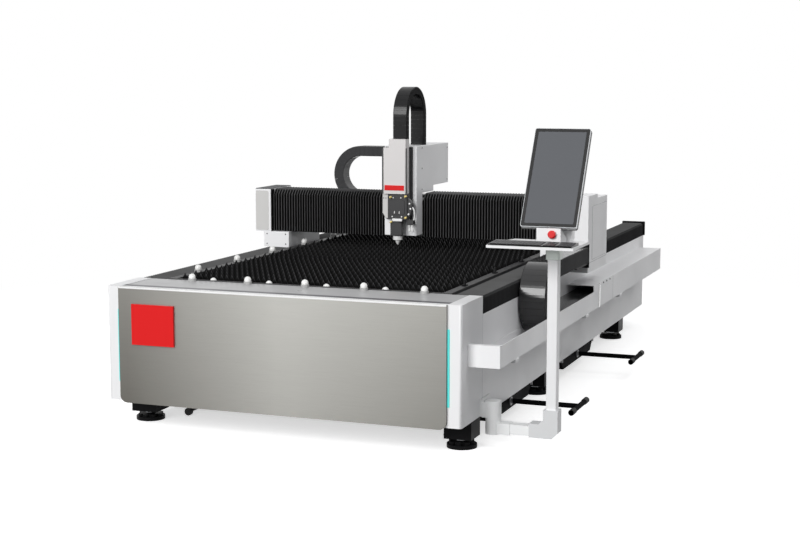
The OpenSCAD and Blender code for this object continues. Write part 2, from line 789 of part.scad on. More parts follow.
head_body_x = [head_x - 56, head_x + 74];
head_body_y = [slide_front - 48, slide_front];
head_body_z = [1005, 1165];
head_axis_y = slide_front - 16;
barrel_d = 72;
barrel_z = 900;

module cutting_head() color(dark) from_front() {
    mid = [(head_body_x[0] + head_body_x[1]) / 2, (head_body_y[0] + head_body_y[1]) / 2];
    translate([mid[0], mid[1], head_body_z[0]]) linear_extrude(head_body_z[1] - head_body_z[0])
        rounded(head_body_x[1] - head_body_x[0], head_body_y[1] - head_body_y[0], 6);
    translate([head_x, head_axis_y, 0]) rotate_extrude() {
        translate([0, barrel_z]) square([barrel_d / 2 - 4, head_body_z[0] - barrel_z]);
        translate([0, barrel_z + 8]) square([barrel_d / 2, 40]);
        translate([0, head_body_z[0] - 30]) square([barrel_d / 2, 30]);
    }
}

// Light side plate with the supply tube, on the left of the head
module head_bracket() color(white) from_front() {
    along_y(head_body_y[0] + 4, slide_front)
        polygon([[head_body_x[0] - 34, head_body_z[1] - 3], [head_body_x[0], head_body_z[1] - 3],
                 [head_body_x[0], head_body_z[0] + 6], [head_body_x[0] - 14, head_body_z[0] + 6],
                 [head_body_x[0] - 34, head_body_z[0] + 40]]);
}

ring_d = 60;
tip_d = 12;
nozzle_d = 30;

module nozzle() color([0.72, 0.55, 0.3]) from_front() translate([head_x, head_axis_y, 0]) rotate_extrude() {
    translate([0, nozzle_z + 30]) square([ring_d / 2, barrel_z - nozzle_z - 30]);
    polygon([[0, nozzle_z], [tip_d / 2, nozzle_z], [nozzle_d / 2, nozzle_z + 20], [nozzle_d / 2, nozzle_z + 30],
             [0, nozzle_z + 30]]);
}

zchain_y = slide_front - 43 + zchain_r;
zchain_z = 1644;
zchain_x = [carriage_x + 29 - zchain_w / 2, carriage_x + 29 + zchain_w / 2];

module z_chain() color(dark) from_front() translate([0, zchain_y, zchain_z])
    along_x(zchain_x[0], zchain_x[1]) rotate(-90)
        chain_runs(zchain_r, zchain_t, zchain_z - carriage_top, zchain_z - z_cap_z - contact);

// Console arm

pivot = [half_w + 62, 335];
knuckle_r = 41;
pivot_d = 30;
pin_end = 6;
pivot_fit = 0.05;
knuckle_z = [70, 136, 243];
pole_x = pivot[0] + arm_reach;
pole_y = pivot[1] - 7;
arm_h = 52;
arm_w = 60;
socket_w = 70;
elbow_x = [pole_x - 112, pole_x + 38];
elbow_z = [75, 221];
elbow_w = 76;
socket_l = 56;

module swivel_bracket() color(white) from_front() {
    span([half_w, half_w + 10], [300, 446], [bed_z + 8, bed_z + 100]);
    span([half_w + 10, pivot[0]], [pivot[1] - 34, pivot[1] + 34], [knuckle_z[1] + 20, knuckle_z[2] - 8]);
    translate([pivot[0], pivot[1], knuckle_z[1]]) cylinder(r = knuckle_r, h = knuckle_z[2] - knuckle_z[1]);
    translate([pivot[0], pivot[1], knuckle_z[0] - pin_end])
        cylinder(d = pivot_d, h = knuckle_z[1] - knuckle_z[0] + pin_end);
}

module swing_arm() color(white) from_front() {
    difference() {
        translate([pivot[0], pivot[1], knuckle_z[0]])
            cylinder(r = knuckle_r, h = knuckle_z[1] - contact - knuckle_z[0]);
        translate([pivot[0], pivot[1], knuckle_z[0] - 1])
            cylinder(r = pivot_d / 2 + pivot_fit, h = knuckle_z[2] - knuckle_z[0]);
    }
    span([pivot[0] + knuckle_r - 12, pivot[0] + knuckle_r + socket_l],
         [pivot[1] - socket_w / 2, pivot[1] + socket_w / 2], [knuckle_z[0] + 4, knuckle_z[1] - 4]);
    span([pivot[0] + knuckle_r + socket_l, elbow_x[0]], [pivot[1] - arm_w / 2, pivot[1] + arm_w / 2],
         [elbow_z[0] + 3, elbow_z[0] + 3 + arm_h]);
}

module arm_elbow() color(white) from_front()
    along_y(pole_y - elbow_w / 2, pole_y + elbow_w / 2)
        polygon([[elbow_x[0], elbow_z[0]], [elbow_x[1] - 30, elbow_z[0]], [elbow_x[1], elbow_z[0] + 30],
                 [elbow_x[1], elbow_z[1]], [pole_x - 38, elbow_z[1]], [pole_x - 38, elbow_z[0] + 96],
                 [pole_x - 62, elbow_z[0] + 72], [elbow_x[0], elbow_z[0] + 72]]);

pole_top = 986;
spigot_d = 40;
spigot_h = 60;
pole_wall = 4;

module console_pole() color(white) from_front() translate([pole_x, pole_y, 0]) {
    translate([0, 0, elbow_z[1]]) linear_extrude(pole_top - elbow_z[1]) difference() {
        rounded(pole_w, pole_w, 6);
        rounded(pole_w - 2 * pole_wall, pole_w - 2 * pole_wall, 3);
    }
    translate([0, 0, pole_top - 12]) linear_extrude(12) rounded(pole_w, pole_w, 6);
    translate([0, 0, pole_top - 1]) cylinder(d = spigot_d, h = spigot_h + 1);
}

// Console head

collar_w = 72;
flange_w = 130;
sheet_t = 3;
tray_h = 13;
flange_drop = 14;
flange_d = 80;
tray_top = tray_z + tray_h;
shelf_x = [pole_x - 270, pole_x + 166];
shelf_y = [50, 372];
shelf_cut = [52, 160];

module pole_collar() color([0.6, 0.62, 0.6]) from_front() translate([pole_x, pole_y, 0]) difference() {
    union() {
        translate([0, 0, pole_top + contact]) linear_extrude(tray_z - flange_drop - pole_top - contact)
            rounded(collar_w, collar_w, 8);
        translate([0, 0, tray_z - flange_drop]) linear_extrude(tray_h - sheet_t + flange_drop)
            square([flange_w, flange_d], center = true);
    }
    translate([0, 0, pole_top - 1]) cylinder(r = spigot_d / 2 + pivot_fit, h = spigot_h + 1 + contact);
}

module shelf_outline(d) {
    polygon([[shelf_x[0] + d, shelf_y[0] + d], [shelf_x[1] - d, shelf_y[0] + d],
             [shelf_x[1] - d, shelf_y[1] - d], [shelf_x[0] + shelf_cut[0] + d, shelf_y[1] - d],
             [shelf_x[0] + d, shelf_y[1] - shelf_cut[1]]]);
}

module keyboard_tray() color(white) from_front() difference() {
    translate([0, 0, tray_z]) linear_extrude(tray_h) shelf_outline(0);
    translate([0, 0, tray_z - 1]) linear_extrude(tray_h - sheet_t + 1) shelf_outline(sheet_t);
}

keyboard_y = [shelf_y[0] + 6, shelf_y[0] + 146];
keyboard_h = 13;

module keyboard() color(dark) from_front() {
    along_x(shelf_x[0] + 8, shelf_x[1] - 10)
        polygon([[keyboard_y[0], tray_top], [keyboard_y[1], tray_top], [keyboard_y[1], tray_top + keyboard_h],
                 [keyboard_y[0], tray_top + 7]]);
}

stop_box_x = [pole_x - 58, pole_x + 64];
stop_box_y = [keyboard_y[1] + 4, keyboard_y[1] + 120];
stop_box_h = 78;
button_x = pole_x + 22;
button_z = tray_top + 48;
button_stem_d = 22;
button_gap = 6;
button_h = 14;
button_r = 20;

module stop_box() color(white) from_front() difference() {
    along_x(stop_box_x[0], stop_box_x[1])
        polygon([[stop_box_y[0], tray_top], [stop_box_y[1], tray_top], [stop_box_y[1], tray_top + 20],
                 [stop_box_y[0], tray_top + stop_box_h]]);
    translate([button_x, stop_box_y[0] - 1, button_z]) rotate([-90, 0, 0])
        cylinder(r = button_stem_d / 2 + pivot_fit, h = 40);
}

module stop_button() color(red) from_front() translate([button_x, stop_box_y[0] - button_gap, button_z])
    rotate([-90, 0, 0]) {
        cylinder(d = button_stem_d, h = 32);
        translate([0, 0, -button_h]) rotate_extrude()
            polygon([[0, 0], [button_r - 6, 0], [button_r, 6], [button_r, button_h], [0, button_h]]);
    }

// Monitor, leaning back, on a hinge behind it
monitor_t = 28;
monitor_y = stop_box_y[0];
monitor_z = tray_top + 83;
hinge_up = 204;
hinge_back = monitor_t + 22;
hinge_y = monitor_y + hinge_up * sin(monitor_lean) + hinge_back * cos(monitor_lean);
hinge_z = monitor_z + hinge_up * cos(monitor_lean) - hinge_back * sin(monitor_lean);
hinge_r = 13;
hinge_pin_d = 12;
lug_half = 38;
ear_w = 20;
ear_h = 30;
neck_d = 46;
neck_x = [pole_x - 62, pole_x + 92];

module monitor_neck() color(white) from_front() {
    span(neck_x, [hinge_y - neck_d / 2, hinge_y + neck_d / 2], [tray_top, hinge_z - ear_h + 2]);
    for (s = [-1, 1]) translate([pole_x + s * (lug_half + contact + ear_w / 2), hinge_y, 0]) {
        span([-ear_w / 2, ear_w / 2], [-hinge_r, hinge_r], [hinge_z - ear_h, hinge_z]);
        translate([-ear_w / 2, 0, hinge_z]) rotate([0, 90, 0]) cylinder(r = hinge_r, h = ear_w);
    }
    translate([pole_x - lug_half - ear_w, hinge_y, hinge_z]) rotate([0, 90, 0])
        cylinder(d = hinge_pin_d, h = 2 * (lug_half + ear_w));
}

module at_monitor() from_front()
    translate([pole_x, monitor_y, monitor_z]) rotate([-monitor_lean, 0, 0]) children();

bezel = 9;
screen_t = 3;

module monitor_case() color([0.7, 0.71, 0.72]) at_monitor() difference() {
    union() {
        translate([0, monitor_t, monitor_l / 2]) rotate([90, 0, 0]) linear_extrude(monitor_t)
            rounded(monitor_w, monitor_l, 10);
        span([-lug_half, lug_half], [monitor_t, hinge_back], [hinge_up - hinge_r, hinge_up + hinge_r]);
        translate([-lug_half, hinge_back, hinge_up]) rotate([0, 90, 0]) cylinder(r = hinge_r, h = 2 * lug_half);
    }
    span([-monitor_w / 2 + bezel, monitor_w / 2 - bezel], [-1, screen_t], [bezel, monitor_l - bezel]);
    translate([-lug_half - 1, hinge_back, hinge_up]) rotate([0, 90, 0])
        cylinder(r = hinge_pin_d / 2 + pivot_fit, h = 2 * lug_half + 2);
}

module monitor_screen() color(black) at_monitor()
    span([-monitor_w / 2 + bezel, monitor_w / 2 - bezel], [0, screen_t], [bezel, monitor_l - bezel]);

// Slag drawers on wheels

drawer_x = [-half_w + 15, half_w - 10];
drawer_z = [80, 146];
drawer_chamfer = 46;
drawer_wall = 4;
wheel_inset = [237, 200];
wheel_x = [drawer_x[0] + wheel_inset[0], drawer_x[1] - wheel_inset[1]];
wheel_r = 22;
wheel_w = 22;
axle_z = wheel_r + contact;
axle_d = 16;
bearing_y = drawer_w / 2 - 74;
bearing_half = 18;
bearing_t = 12;
bearing_drop = 14;
wheel_y = drawer_w / 2 + 66;
pull_x = half_w + 375;
pull_z = 120;

module drawer_profile(d) {
    half = drawer_w / 2 - d;
    polygon([[-half, drawer_z[1] + (d > 0 ? 1 : 0)], [-half, drawer_z[0] + drawer_chamfer],
             [-half + drawer_chamfer - d, drawer_z[0] + d], [half - drawer_chamfer + d, drawer_z[0] + d],
             [half, drawer_z[0] + drawer_chamfer], [half, drawer_z[1] + (d > 0 ? 1 : 0)]]);
}

module slag_drawer(y) color(black) from_front() translate([0, y, 0]) {
    difference() {
        along_x(drawer_x[0], drawer_x[1]) drawer_profile(0);
        along_x(drawer_x[0] + drawer_wall, drawer_x[1] - drawer_wall) drawer_profile(drawer_wall);
    }
    for (x = wheel_x, s = [-1, 1]) difference() {
        span([x - bearing_half, x + bearing_half],
             inset([s * bearing_y, s * bearing_y], -bearing_t / 2), [axle_z - bearing_drop, drawer_z[0]]);
        translate([x, s * bearing_y + bearing_t / 2 + 1, axle_z]) rotate([90, 0, 0])
            cylinder(r = axle_d / 2 + pivot_fit, h = bearing_t + 2);
    }
    translate([drawer_x[1], 0, pull_z]) rotate([0, 90, 0]) cylinder(d = rod_d, h = pull_x - drawer_x[1]);
    translate([pull_x, pull_l / 2, pull_z]) rotate([90, 0, 0]) cylinder(d = rod_d, h = pull_l);
}

module slag_drawer_front() slag_drawer(drawer_y[0]);
module slag_drawer_rear() slag_drawer(drawer_y[1]);

module wheel_pair(x, y) color(black) from_front() translate([x, y, axle_z]) rotate([90, 0, 0]) {
    translate([0, 0, -wheel_y - wheel_w]) cylinder(d = axle_d, h = 2 * (wheel_y + wheel_w));
    for (s = [-1, 1]) translate([0, 0, s * (wheel_y + wheel_w / 2) - wheel_w / 2])
        cylinder(r = wheel_r, h = wheel_w);
}

module wheels_front_left() wheel_pair(wheel_x[0], drawer_y[0]);
module wheels_front_right() wheel_pair(wheel_x[1], drawer_y[0]);
module wheels_rear_left() wheel_pair(wheel_x[0], drawer_y[1]);
module wheels_rear_right() wheel_pair(wheel_x[1], drawer_y[1]);

bed_frame();
slag_hoppers();
front_housing();
front_panel();
front_deck();
badge_plate();
led_strips();
foot_brackets();
foot_pads();
table_frame();
slats_front();
slats_middle();
slats_rear();
ball_cups();
loading_balls();
sheet_stops();
y_rails();
y_bellows_front();
y_bellows_rear();
cable_tray();
tray_cover();
y_chain();
swivel_bracket();
saddles();
y_guide_blocks();
gantry_beam();
x_rails();
end_cover_left();
end_cover_right();
y_chain_bracket();
x_bellows();
x_chain_tray();
x_chain();
carriage_plate();
carriage_housing();
z_guide();
z_chain();
z_slide();
z_cover();
cover_badge();
cutting_head();
head_bracket();
nozzle();
swing_arm();
arm_elbow();
console_pole();
pole_collar();
keyboard_tray();
keyboard();
stop_box();
monitor_neck();
stop_button();
monitor_case();
monitor_screen();
slag_drawer_front();
slag_drawer_rear();
wheels_front_left();
wheels_front_right();
wheels_rear_left();
wheels_rear_right();
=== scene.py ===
import math

import bmesh
import bpy
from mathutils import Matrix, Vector


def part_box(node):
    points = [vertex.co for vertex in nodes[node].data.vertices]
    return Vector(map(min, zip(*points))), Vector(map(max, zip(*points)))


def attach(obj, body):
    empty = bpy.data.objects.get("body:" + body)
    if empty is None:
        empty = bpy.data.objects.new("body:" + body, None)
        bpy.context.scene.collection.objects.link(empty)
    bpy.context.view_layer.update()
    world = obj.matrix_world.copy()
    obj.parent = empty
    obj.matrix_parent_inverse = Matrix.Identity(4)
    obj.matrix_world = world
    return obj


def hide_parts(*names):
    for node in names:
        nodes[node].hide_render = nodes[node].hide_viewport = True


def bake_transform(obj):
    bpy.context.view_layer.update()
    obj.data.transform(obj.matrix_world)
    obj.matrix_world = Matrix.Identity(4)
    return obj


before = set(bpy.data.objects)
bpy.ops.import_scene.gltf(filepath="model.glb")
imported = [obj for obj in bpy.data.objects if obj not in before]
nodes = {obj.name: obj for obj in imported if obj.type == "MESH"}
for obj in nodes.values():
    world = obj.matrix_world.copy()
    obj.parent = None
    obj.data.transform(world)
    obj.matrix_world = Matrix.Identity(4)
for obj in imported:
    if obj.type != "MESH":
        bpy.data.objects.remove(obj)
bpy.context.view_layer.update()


# The studio: a pale floor that runs out into a white surround, a broad soft box far in
# front, weaker ones high at the right and behind, and the photograph's camera.
MM = 0.001
CAMERA_AT = (3.2658, -9.0693, 1.8995)
CAMERA_DOWN, CAMERA_LEFT = 7.315, 20.66
CAMERA_LENS, CAMERA_SENSOR = 67.28, 36.0
SURROUND_LIGHT = 0.27
FLOOR_SIZE = 60.0
FLOOR_NEAR, FLOOR_FAR = 3.2, 5.2
FLOOR_LIFT = 0.6
FLOOR_SHOWN, FLOOR_BOUNCE = 0.93, 0.1


def add(tree, kind, inputs=None, **settings):
    """A node of the tree with its settings made and its inputs set or linked."""
    node = tree.nodes.new(kind)
    for key, value in settings.items():
        setattr(node, key, value)
    for key, value in (inputs or {}).items():
        if isinstance(value, bpy.types.NodeSocket):
            tree.links.new(value, node.inputs[key])
        else:
            node.inputs[key].default_value = value
    return node


def seen_directly(tree):
    """1 for rays that show the surround itself: to the camera, in gloss or through glass."""
    path = add(tree, "ShaderNodeLightPath")
    either = add(tree, "ShaderNodeMath", operation="MAXIMUM",
                 inputs={0: path.outputs["Is Camera Ray"], 1: path.outputs["Is Glossy Ray"]})
    seen = add(tree, "ShaderNodeMath", operation="MAXIMUM",
               inputs={0: either.outputs[0], 1: path.outputs["Is Transmission Ray"]})
    return seen.outputs[0]


def soft_box(name, place, target, size, watts):
    """A square area lamp at place that points at target."""
    data = bpy.data.lights.new(name, "AREA")
    data.size, data.energy = size, watts
    lamp = bpy.data.objects.new(name, data)
    lamp.location = place
    lamp.rotation_euler = (Vector(target) - Vector(place)).to_track_quat("-Z", "Y").to_euler()
    bpy.context.scene.collection.objects.link(lamp)


world = bpy.data.worlds.new("studio_surround")
bpy.context.scene.world = world
world.use_nodes = True
world.node_tree.nodes.clear()
shown = add(world.node_tree, "ShaderNodeBackground", {"Color": (1, 1, 1, 1), "Strength": 1.0})
lighting = add(world.node_tree, "ShaderNodeBackground",
               {"Color": (0.97, 0.98, 1, 1), "Strength": SURROUND_LIGHT})
surround = add(world.node_tree, "ShaderNodeMixShader",
               {0: seen_directly(world.node_tree), 1: lighting.outputs[0], 2: shown.outputs[0]})
add(world.node_tree, "ShaderNodeOutputWorld", {"Surface": surround.outputs[0]})

soft_box("front_soft_box", (-2.5, -17.0, 7.5), (0.0, -0.4, 0.7), 9.0, 2700.0)
soft_box("right_soft_box", (7.5, -2.0, 9.0), (1.0, 0.0, 0.8), 6.0, 265.0)
soft_box("rear_soft_box", (5.0, 12.0, 10.0), (0.0, 0.0, 0.6), 5.0, 320.0)

floor_paint = bpy.data.materials.new("studio_floor")
floor_paint.use_nodes = True
floor_tree = floor_paint.node_tree
floor_tree.nodes.clear()
floor_seen = seen_directly(floor_tree)
floor_at = add(floor_tree, "ShaderNodeTexCoord")
floor_reach = add(floor_tree, "ShaderNodeVectorMath", {0: floor_at.outputs["Object"]}, operation="LENGTH")
floor_fade = add(floor_tree, "ShaderNodeMapRange", interpolation_type="SMOOTHSTEP",
                 inputs={"Value": floor_reach.outputs["Value"],
                         "From Min": FLOOR_NEAR, "From Max": FLOOR_FAR})
floor_white = add(floor_tree, "ShaderNodeMath", operation="MULTIPLY",
                  inputs={0: floor_fade.outputs["Result"], 1: floor_seen})
floor_lift = add(floor_tree, "ShaderNodeMath", {0: floor_seen, 1: FLOOR_LIFT}, operation="MULTIPLY")
floor_tone = add(floor_tree, "ShaderNodeMapRange",
                 {"Value": floor_seen, "To Min": FLOOR_BOUNCE, "To Max": FLOOR_SHOWN})
floor_matt = add(floor_tree, "ShaderNodeBsdfDiffuse", {"Color": floor_tone.outputs["Result"]})
floor_glow = add(floor_tree, "ShaderNodeEmission", {"Color": (1, 1, 1, 1), "Strength": floor_lift.outputs[0]})
floor_near = add(floor_tree, "ShaderNodeAddShader", {0: floor_matt.outputs[0], 1: floor_glow.outputs[0]})
floor_far = add(floor_tree, "ShaderNodeEmission", {"Color": (1, 1, 1, 1), "Strength": 1.0})
floor_mix = add(floor_tree, "ShaderNodeMixShader",
                {0: floor_white.outputs[0], 1: floor_near.outputs[0], 2: floor_far.outputs[0]})
add(floor_tree, "ShaderNodeOutputMaterial", {"Surface": floor_mix.outputs[0]})
floor_mesh = bpy.data.meshes.new("floor")
half_floor = FLOOR_SIZE / 2
floor_mesh.from_pydata([(x, y, 0.0) for x, y in ((-half_floor, -half_floor), (half_floor, -half_floor),
                                                 (half_floor, half_floor), (-half_floor, half_floor))],
                       [], [(0, 1, 2, 3)])
floor_mesh.materials.append(floor_paint)
floor = bpy.data.objects.new("floor", floor_mesh)
bpy.context.scene.collection.objects.link(floor)

camera = bpy.data.objects.new("photo_camera", bpy.data.cameras.new("photo_camera"))
camera.data.lens, camera.data.sensor_width = CAMERA_LENS, CAMERA_SENSOR
camera.location = CAMERA_AT
camera.rotation_euler = (math.radians(90 - CAMERA_DOWN), 0, math.radians(CAMERA_LEFT))
bpy.context.scene.collection.objects.link(camera)
bpy.context.scene.camera = camera
bpy.context.scene.view_settings.view_transform = "Standard"


# The bed: a welded steel frame with two slag hoppers, powder coated white. Powder
# coat has a fine orange peel, and handling leaves it a little dull in patches.
WELD_REACH, EDGE_STEPS, EDGE_ANGLE = 0.02 * MM, 2, math.radians(50)


def group(name, kind, inputs, outputs):
    """A node group with named float inputs and outputs, and its two end nodes."""
    tree = bpy.data.node_groups.new(name, kind)
    for socket, value in inputs.items():
        made = tree.interface.new_socket(socket, in_out="INPUT", socket_type="NodeSocketFloat")
        made.default_value = value
    for socket in outputs:
        tree.interface.new_socket(socket, in_out="OUTPUT", socket_type="NodeSocketFloat")
    return tree, tree.nodes.new("NodeGroupInput"), tree.nodes.new("NodeGroupOutput")


def scale_of(tree, size):
    """The texture scale whose features have this size in metres."""
    return add(tree, "ShaderNodeMath", {0: 1.0, 1: size}, operation="DIVIDE").outputs[0]


surface_grain, grain_in, grain_out = group(
    "surface_grain", "ShaderNodeTree", {"Grain Size": 0.002, "Patch Size": 0.3}, ("Grain", "Patches"))
grain_at = add(surface_grain, "ShaderNodeTexCoord").outputs["Object"]
fine_grain = add(surface_grain, "ShaderNodeTexNoise",
                 {"Vector": grain_at, "Detail": 2.0, "Roughness": 0.6,
                  "Scale": scale_of(surface_grain, grain_in.outputs["Grain Size"])})
dull_patches = add(surface_grain, "ShaderNodeTexNoise",
                   {"Vector": grain_at, "Detail": 5.0, "Roughness": 0.62,
                    "Scale": scale_of(surface_grain, grain_in.outputs["Patch Size"])})
surface_grain.links.new(fine_grain.outputs["Fac"], grain_out.inputs["Grain"])
surface_grain.links.new(dull_patches.outputs["Fac"], grain_out.inputs["Patches"])


def shade(red, green, blue):
    """A linear colour from one as a screen shows it, 0 to 255."""
    return tuple((c / 255 / 12.92) if c <= 10 else ((c / 255 + 0.055) / 1.055) ** 2.4
                 for c in (red, green, blue)) + (1.0,)


def darker(colour, share):
    return tuple(c * (1 - share) for c in colour[:3]) + (1.0,)


def blended(tree, factor, first, second, blend="MIX"):
    """The colour between two others by a factor."""
    mix = add(tree, "ShaderNodeMix", data_type="RGBA", blend_type=blend)
    for key, value in ((0, factor), (6, first), (7, second)):
        if isinstance(value, bpy.types.NodeSocket):
            tree.links.new(value, mix.inputs[key])
        else:
            mix.inputs[key].default_value = value
    return mix.outputs[2]


def ranged(tree, value, low, high, start=0.3, end=0.7):
    """A mask stretched from start..end to low..high."""
    return add(tree, "ShaderNodeMapRange", {"Value": value, "From Min": start, "From Max": end,
                                            "To Min": low, "To Max": high}).outputs["Result"]


def coated(name, colour, rough, metal=0.0, grain=0.002, bump=0.1, patches=0.3, stain=0.07, vary=0.08,
           gloss=0.5, paint=None):
    """A coated, moulded or machined finish: its colour a little uneven in patches, its
    roughness with them, and a fine grain in the bump. paint may change the base colour."""
    made = bpy.data.materials.new(name)
    made.use_nodes = True
    tree = made.node_tree
    bsdf = tree.nodes["Principled BSDF"]
    texture = add(tree, "ShaderNodeGroup", node_tree=surface_grain,
                  inputs={"Grain Size": grain, "Patch Size": patches})
    base = paint(tree) if paint else colour
    stained = blended(tree, ranged(tree, texture.outputs["Patches"], 0.0, stain), base, (0, 0, 0, 1))
    tree.links.new(stained, bsdf.inputs["Base Color"])
    uneven = ranged(tree, texture.outputs["Patches"], rough - vary, rough + vary)
    tree.links.new(uneven, bsdf.inputs["Roughness"])
    peel = add(tree, "ShaderNodeBump",
               {"Strength": bump, "Distance": grain / 4, "Height": texture.outputs["Grain"]})
    tree.links.new(peel.outputs["Normal"], bsdf.inputs["Normal"])
    bsdf.inputs["Metallic"].default_value = metal
    bsdf.inputs["Specular IOR Level"].default_value = gloss
    return made


def dress(finish, *names, edge=0.0):
    """Gives CAD nodes a finish, and rounds their sharp edges by this much."""
    for name in names:
        mesh = nodes[name].data
        mesh.materials.clear()
        mesh.materials.append(finish)
        if edge:
            welded = nodes[name].modifiers.new("welded", "WELD")
            welded.merge_threshold = WELD_REACH
            rounded = nodes[name].modifiers.new("rounded", "BEVEL")
            rounded.width, rounded.segments = edge, EDGE_STEPS
            rounded.limit_method, rounded.angle_limit = "ANGLE", EDGE_ANGLE


white_paint = coated("white_paint", shade(238, 238, 239), 0.42, stain=0.03)
hopper_paint = coated("hopper_paint", shade(150, 150, 151), 0.5, stain=0.2)
dress(white_paint, "bed_frame")
dress(hopper_paint, "slag_hoppers")


# The back of the bed has two louvred sheet covers over the drive bay, held by button
# head screws, and a fine joint runs down each side where the housing meets the frame.
REAR_FACE = 2.2
REAR_COVER_X, REAR_COVER_Z, REAR_COVER_T = (70 * MM, 770 * MM), (215 * MM, 625 * MM), 2.5 * MM
COVER_SCREW_IN, COVER_SCREWS = 20 * MM, 4
LOUVRE_W, LOUVRE_H, LOUVRE_D, LOUVRES = 420 * MM, 16 * MM, 6 * MM, 7
LOUVRE_SECTION = ((0, 0), (0, LOUVRE_H), (LOUVRE_D, LOUVRE_H * 0.3), (LOUVRE_D, 0))
LOUVRES_UP = 120 * MM
SCREW_R = 7 * MM
JOINT_Y, JOINT_W = -1.862, 1.6 * MM
JOINT_X, JOINT_Z = (999 * MM, 1000.3 * MM), (162 * MM, 684 * MM)


def linked(name, mesh):
    """A new object of the scene, at the origin."""
    made = bpy.data.objects.new(name, mesh)
    bpy.context.scene.collection.objects.link(made)
    return made


def lofted(name, loops, ring=False):
    """A closed mesh through loops of points, with a face at each end unless it is a ring."""
    shape = bmesh.new()
    rings = [[shape.verts.new(point) for point in loop] for loop in loops]
    for near, far in zip(rings, rings[1:] + rings[:1] if ring else rings[1:]):
        for k in range(len(near)):
            shape.faces.new((near[k], near[k - 1], far[k - 1], far[k]))
    if not ring:
        shape.faces.new(rings[0])
        shape.faces.new(rings[-1][::-1])
    bmesh.ops.recalc_face_normals(shape, faces=shape.faces)
    mesh = bpy.data.meshes.new(name)
    shape.to_mesh(mesh)
    shape.free()
    return mesh


def spot(axis, across, up, along):
    """A point from its two places across an axis and its place along it."""
    return Vector(((along, across, up), (across, along, up), (across, up, along))[axis])


def corner_loop(across, up, radius, steps=4):
    """The outline of a plate with round corners."""
    loop = []
    left, right = across[0] + radius, across[1] - radius
    base, top = up[0] + radius, up[1] - radius
    for turn, (u, v) in enumerate(((right, top), (left, top), (left, base), (right, base))):
        for step in range(steps + 1):
            angle = math.pi / 2 * (turn + step / steps)
            loop.append((u + radius * math.cos(angle), v + radius * math.sin(angle)))
    return loop


def plate(axis, across, up, along, radius=4 * MM, edge=0.8 * MM, steps=4):
    """A plate with round corners and broken edges, its thickness along an axis."""
    loops = []
    for place, cut in ((along[0], edge), (along[0] + edge, 0.0), (along[1] - edge, 0.0), (along[1], edge)):
        wide, tall = (across[0] + cut, across[1] - cut), (up[0] + cut, up[1] - cut)
        loop = corner_loop(wide, tall, radius - cut, steps)
        loops.append([spot(axis, u, v, place) for u, v in loop])
    return lofted("plate", loops)


def turned(axis, profile, at=(0.0, 0.0, 0.0), sides=16):
    """A turned piece about an axis through a point, from distances along it and radii."""
    angles = [2 * math.pi * k / sides for k in range(sides)]
    rings = [[Vector(at) + spot(axis, r * math.cos(a), r * math.sin(a), along) for a in angles]
             for along, r in profile]
    return lofted("turned", rings)


def carried(made, body):
    """Lets a piece move with a body."""
    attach(made, body)
    return made


def piece(name, body, slot, finish, *shapes):
    """A piece of one or more meshes in one finish, carried by a body."""
    whole = bmesh.new()
    for shape in shapes:
        whole.from_mesh(shape)
    mesh = bpy.data.meshes.new(name)
    whole.to_mesh(mesh)
    whole.free()
    mesh.materials.append(finish)
    return carried(linked(name, mesh), body)


def row_tree():
    """Geometry Nodes: copies of a unit in a row, each a step and a turn on from the last."""
    tree = bpy.data.node_groups.new("row_of_units", "GeometryNodeTree")
    for socket, kind in (("Unit", "Object"), ("Count", "Int"), ("Start", "Vector"), ("Step", "Vector"),
                         ("Turn", "Vector"), ("Finish", "Material")):
        tree.interface.new_socket(socket, in_out="INPUT", socket_type="NodeSocket" + kind)
    tree.interface.new_socket("Mesh", in_out="OUTPUT", socket_type="NodeSocketGeometry")
    given = tree.nodes.new("NodeGroupInput").outputs
    index = add(tree, "GeometryNodeInputIndex").outputs[0]
    along = add(tree, "ShaderNodeVectorMath", {0: given["Step"], "Scale": index}, operation="SCALE")
    place = add(tree, "ShaderNodeVectorMath", {0: given["Start"], 1: along.outputs[0]}, operation="ADD")
    turn = add(tree, "ShaderNodeVectorMath", {0: given["Turn"], "Scale": index}, operation="SCALE")
    points = add(tree, "GeometryNodePoints", {"Count": given["Count"], "Position": place.outputs[0]})
    unit = add(tree, "GeometryNodeObjectInfo", {"Object": given["Unit"]})
    copies = add(tree, "GeometryNodeInstanceOnPoints",
                 {"Points": points.outputs[0], "Instance": unit.outputs["Geometry"],
                  "Rotation": turn.outputs[0]})
    solid = add(tree, "GeometryNodeRealizeInstances", {0: copies.outputs[0]})
    done = add(tree, "GeometryNodeSetMaterial", {"Geometry": solid.outputs[0], "Material": given["Finish"]})
    tree.links.new(done.outputs[0], tree.nodes.new("NodeGroupOutput").inputs[0])
    return tree


row_of_units = row_tree()


def row(name, unit, count, finish, start=(0, 0, 0), step=(0, 0, 0), turn=(0, 0, 0)):
    """The plain mesh of a row of a unit mesh."""
    holder = bpy.data.objects.new(name + "_unit", unit)
    made = linked(name, bpy.data.meshes.new(name))
    built = made.modifiers.new("row", "NODES")
    built.node_group = row_of_units
    values = {"Unit": holder, "Count": count, "Start": start, "Step": step, "Turn": turn, "Finish": finish}
    for item in row_of_units.interface.items_tree:
        if item.in_out == "INPUT":
            built[item.identifier] = values[item.name]
    ready = made.evaluated_get(bpy.context.evaluated_depsgraph_get())
    made.data = bpy.data.meshes.new_from_object(ready)
    made.modifiers.clear()
    bpy.data.objects.remove(holder)
    return made


def joined(name, pieces):
    """One piece from several."""
    if len(pieces) > 1:
        with bpy.context.temp_override(active_object=pieces[0], selected_editable_objects=pieces):
            bpy.ops.object.join()
    pieces[0].name = name
    return pieces[0]


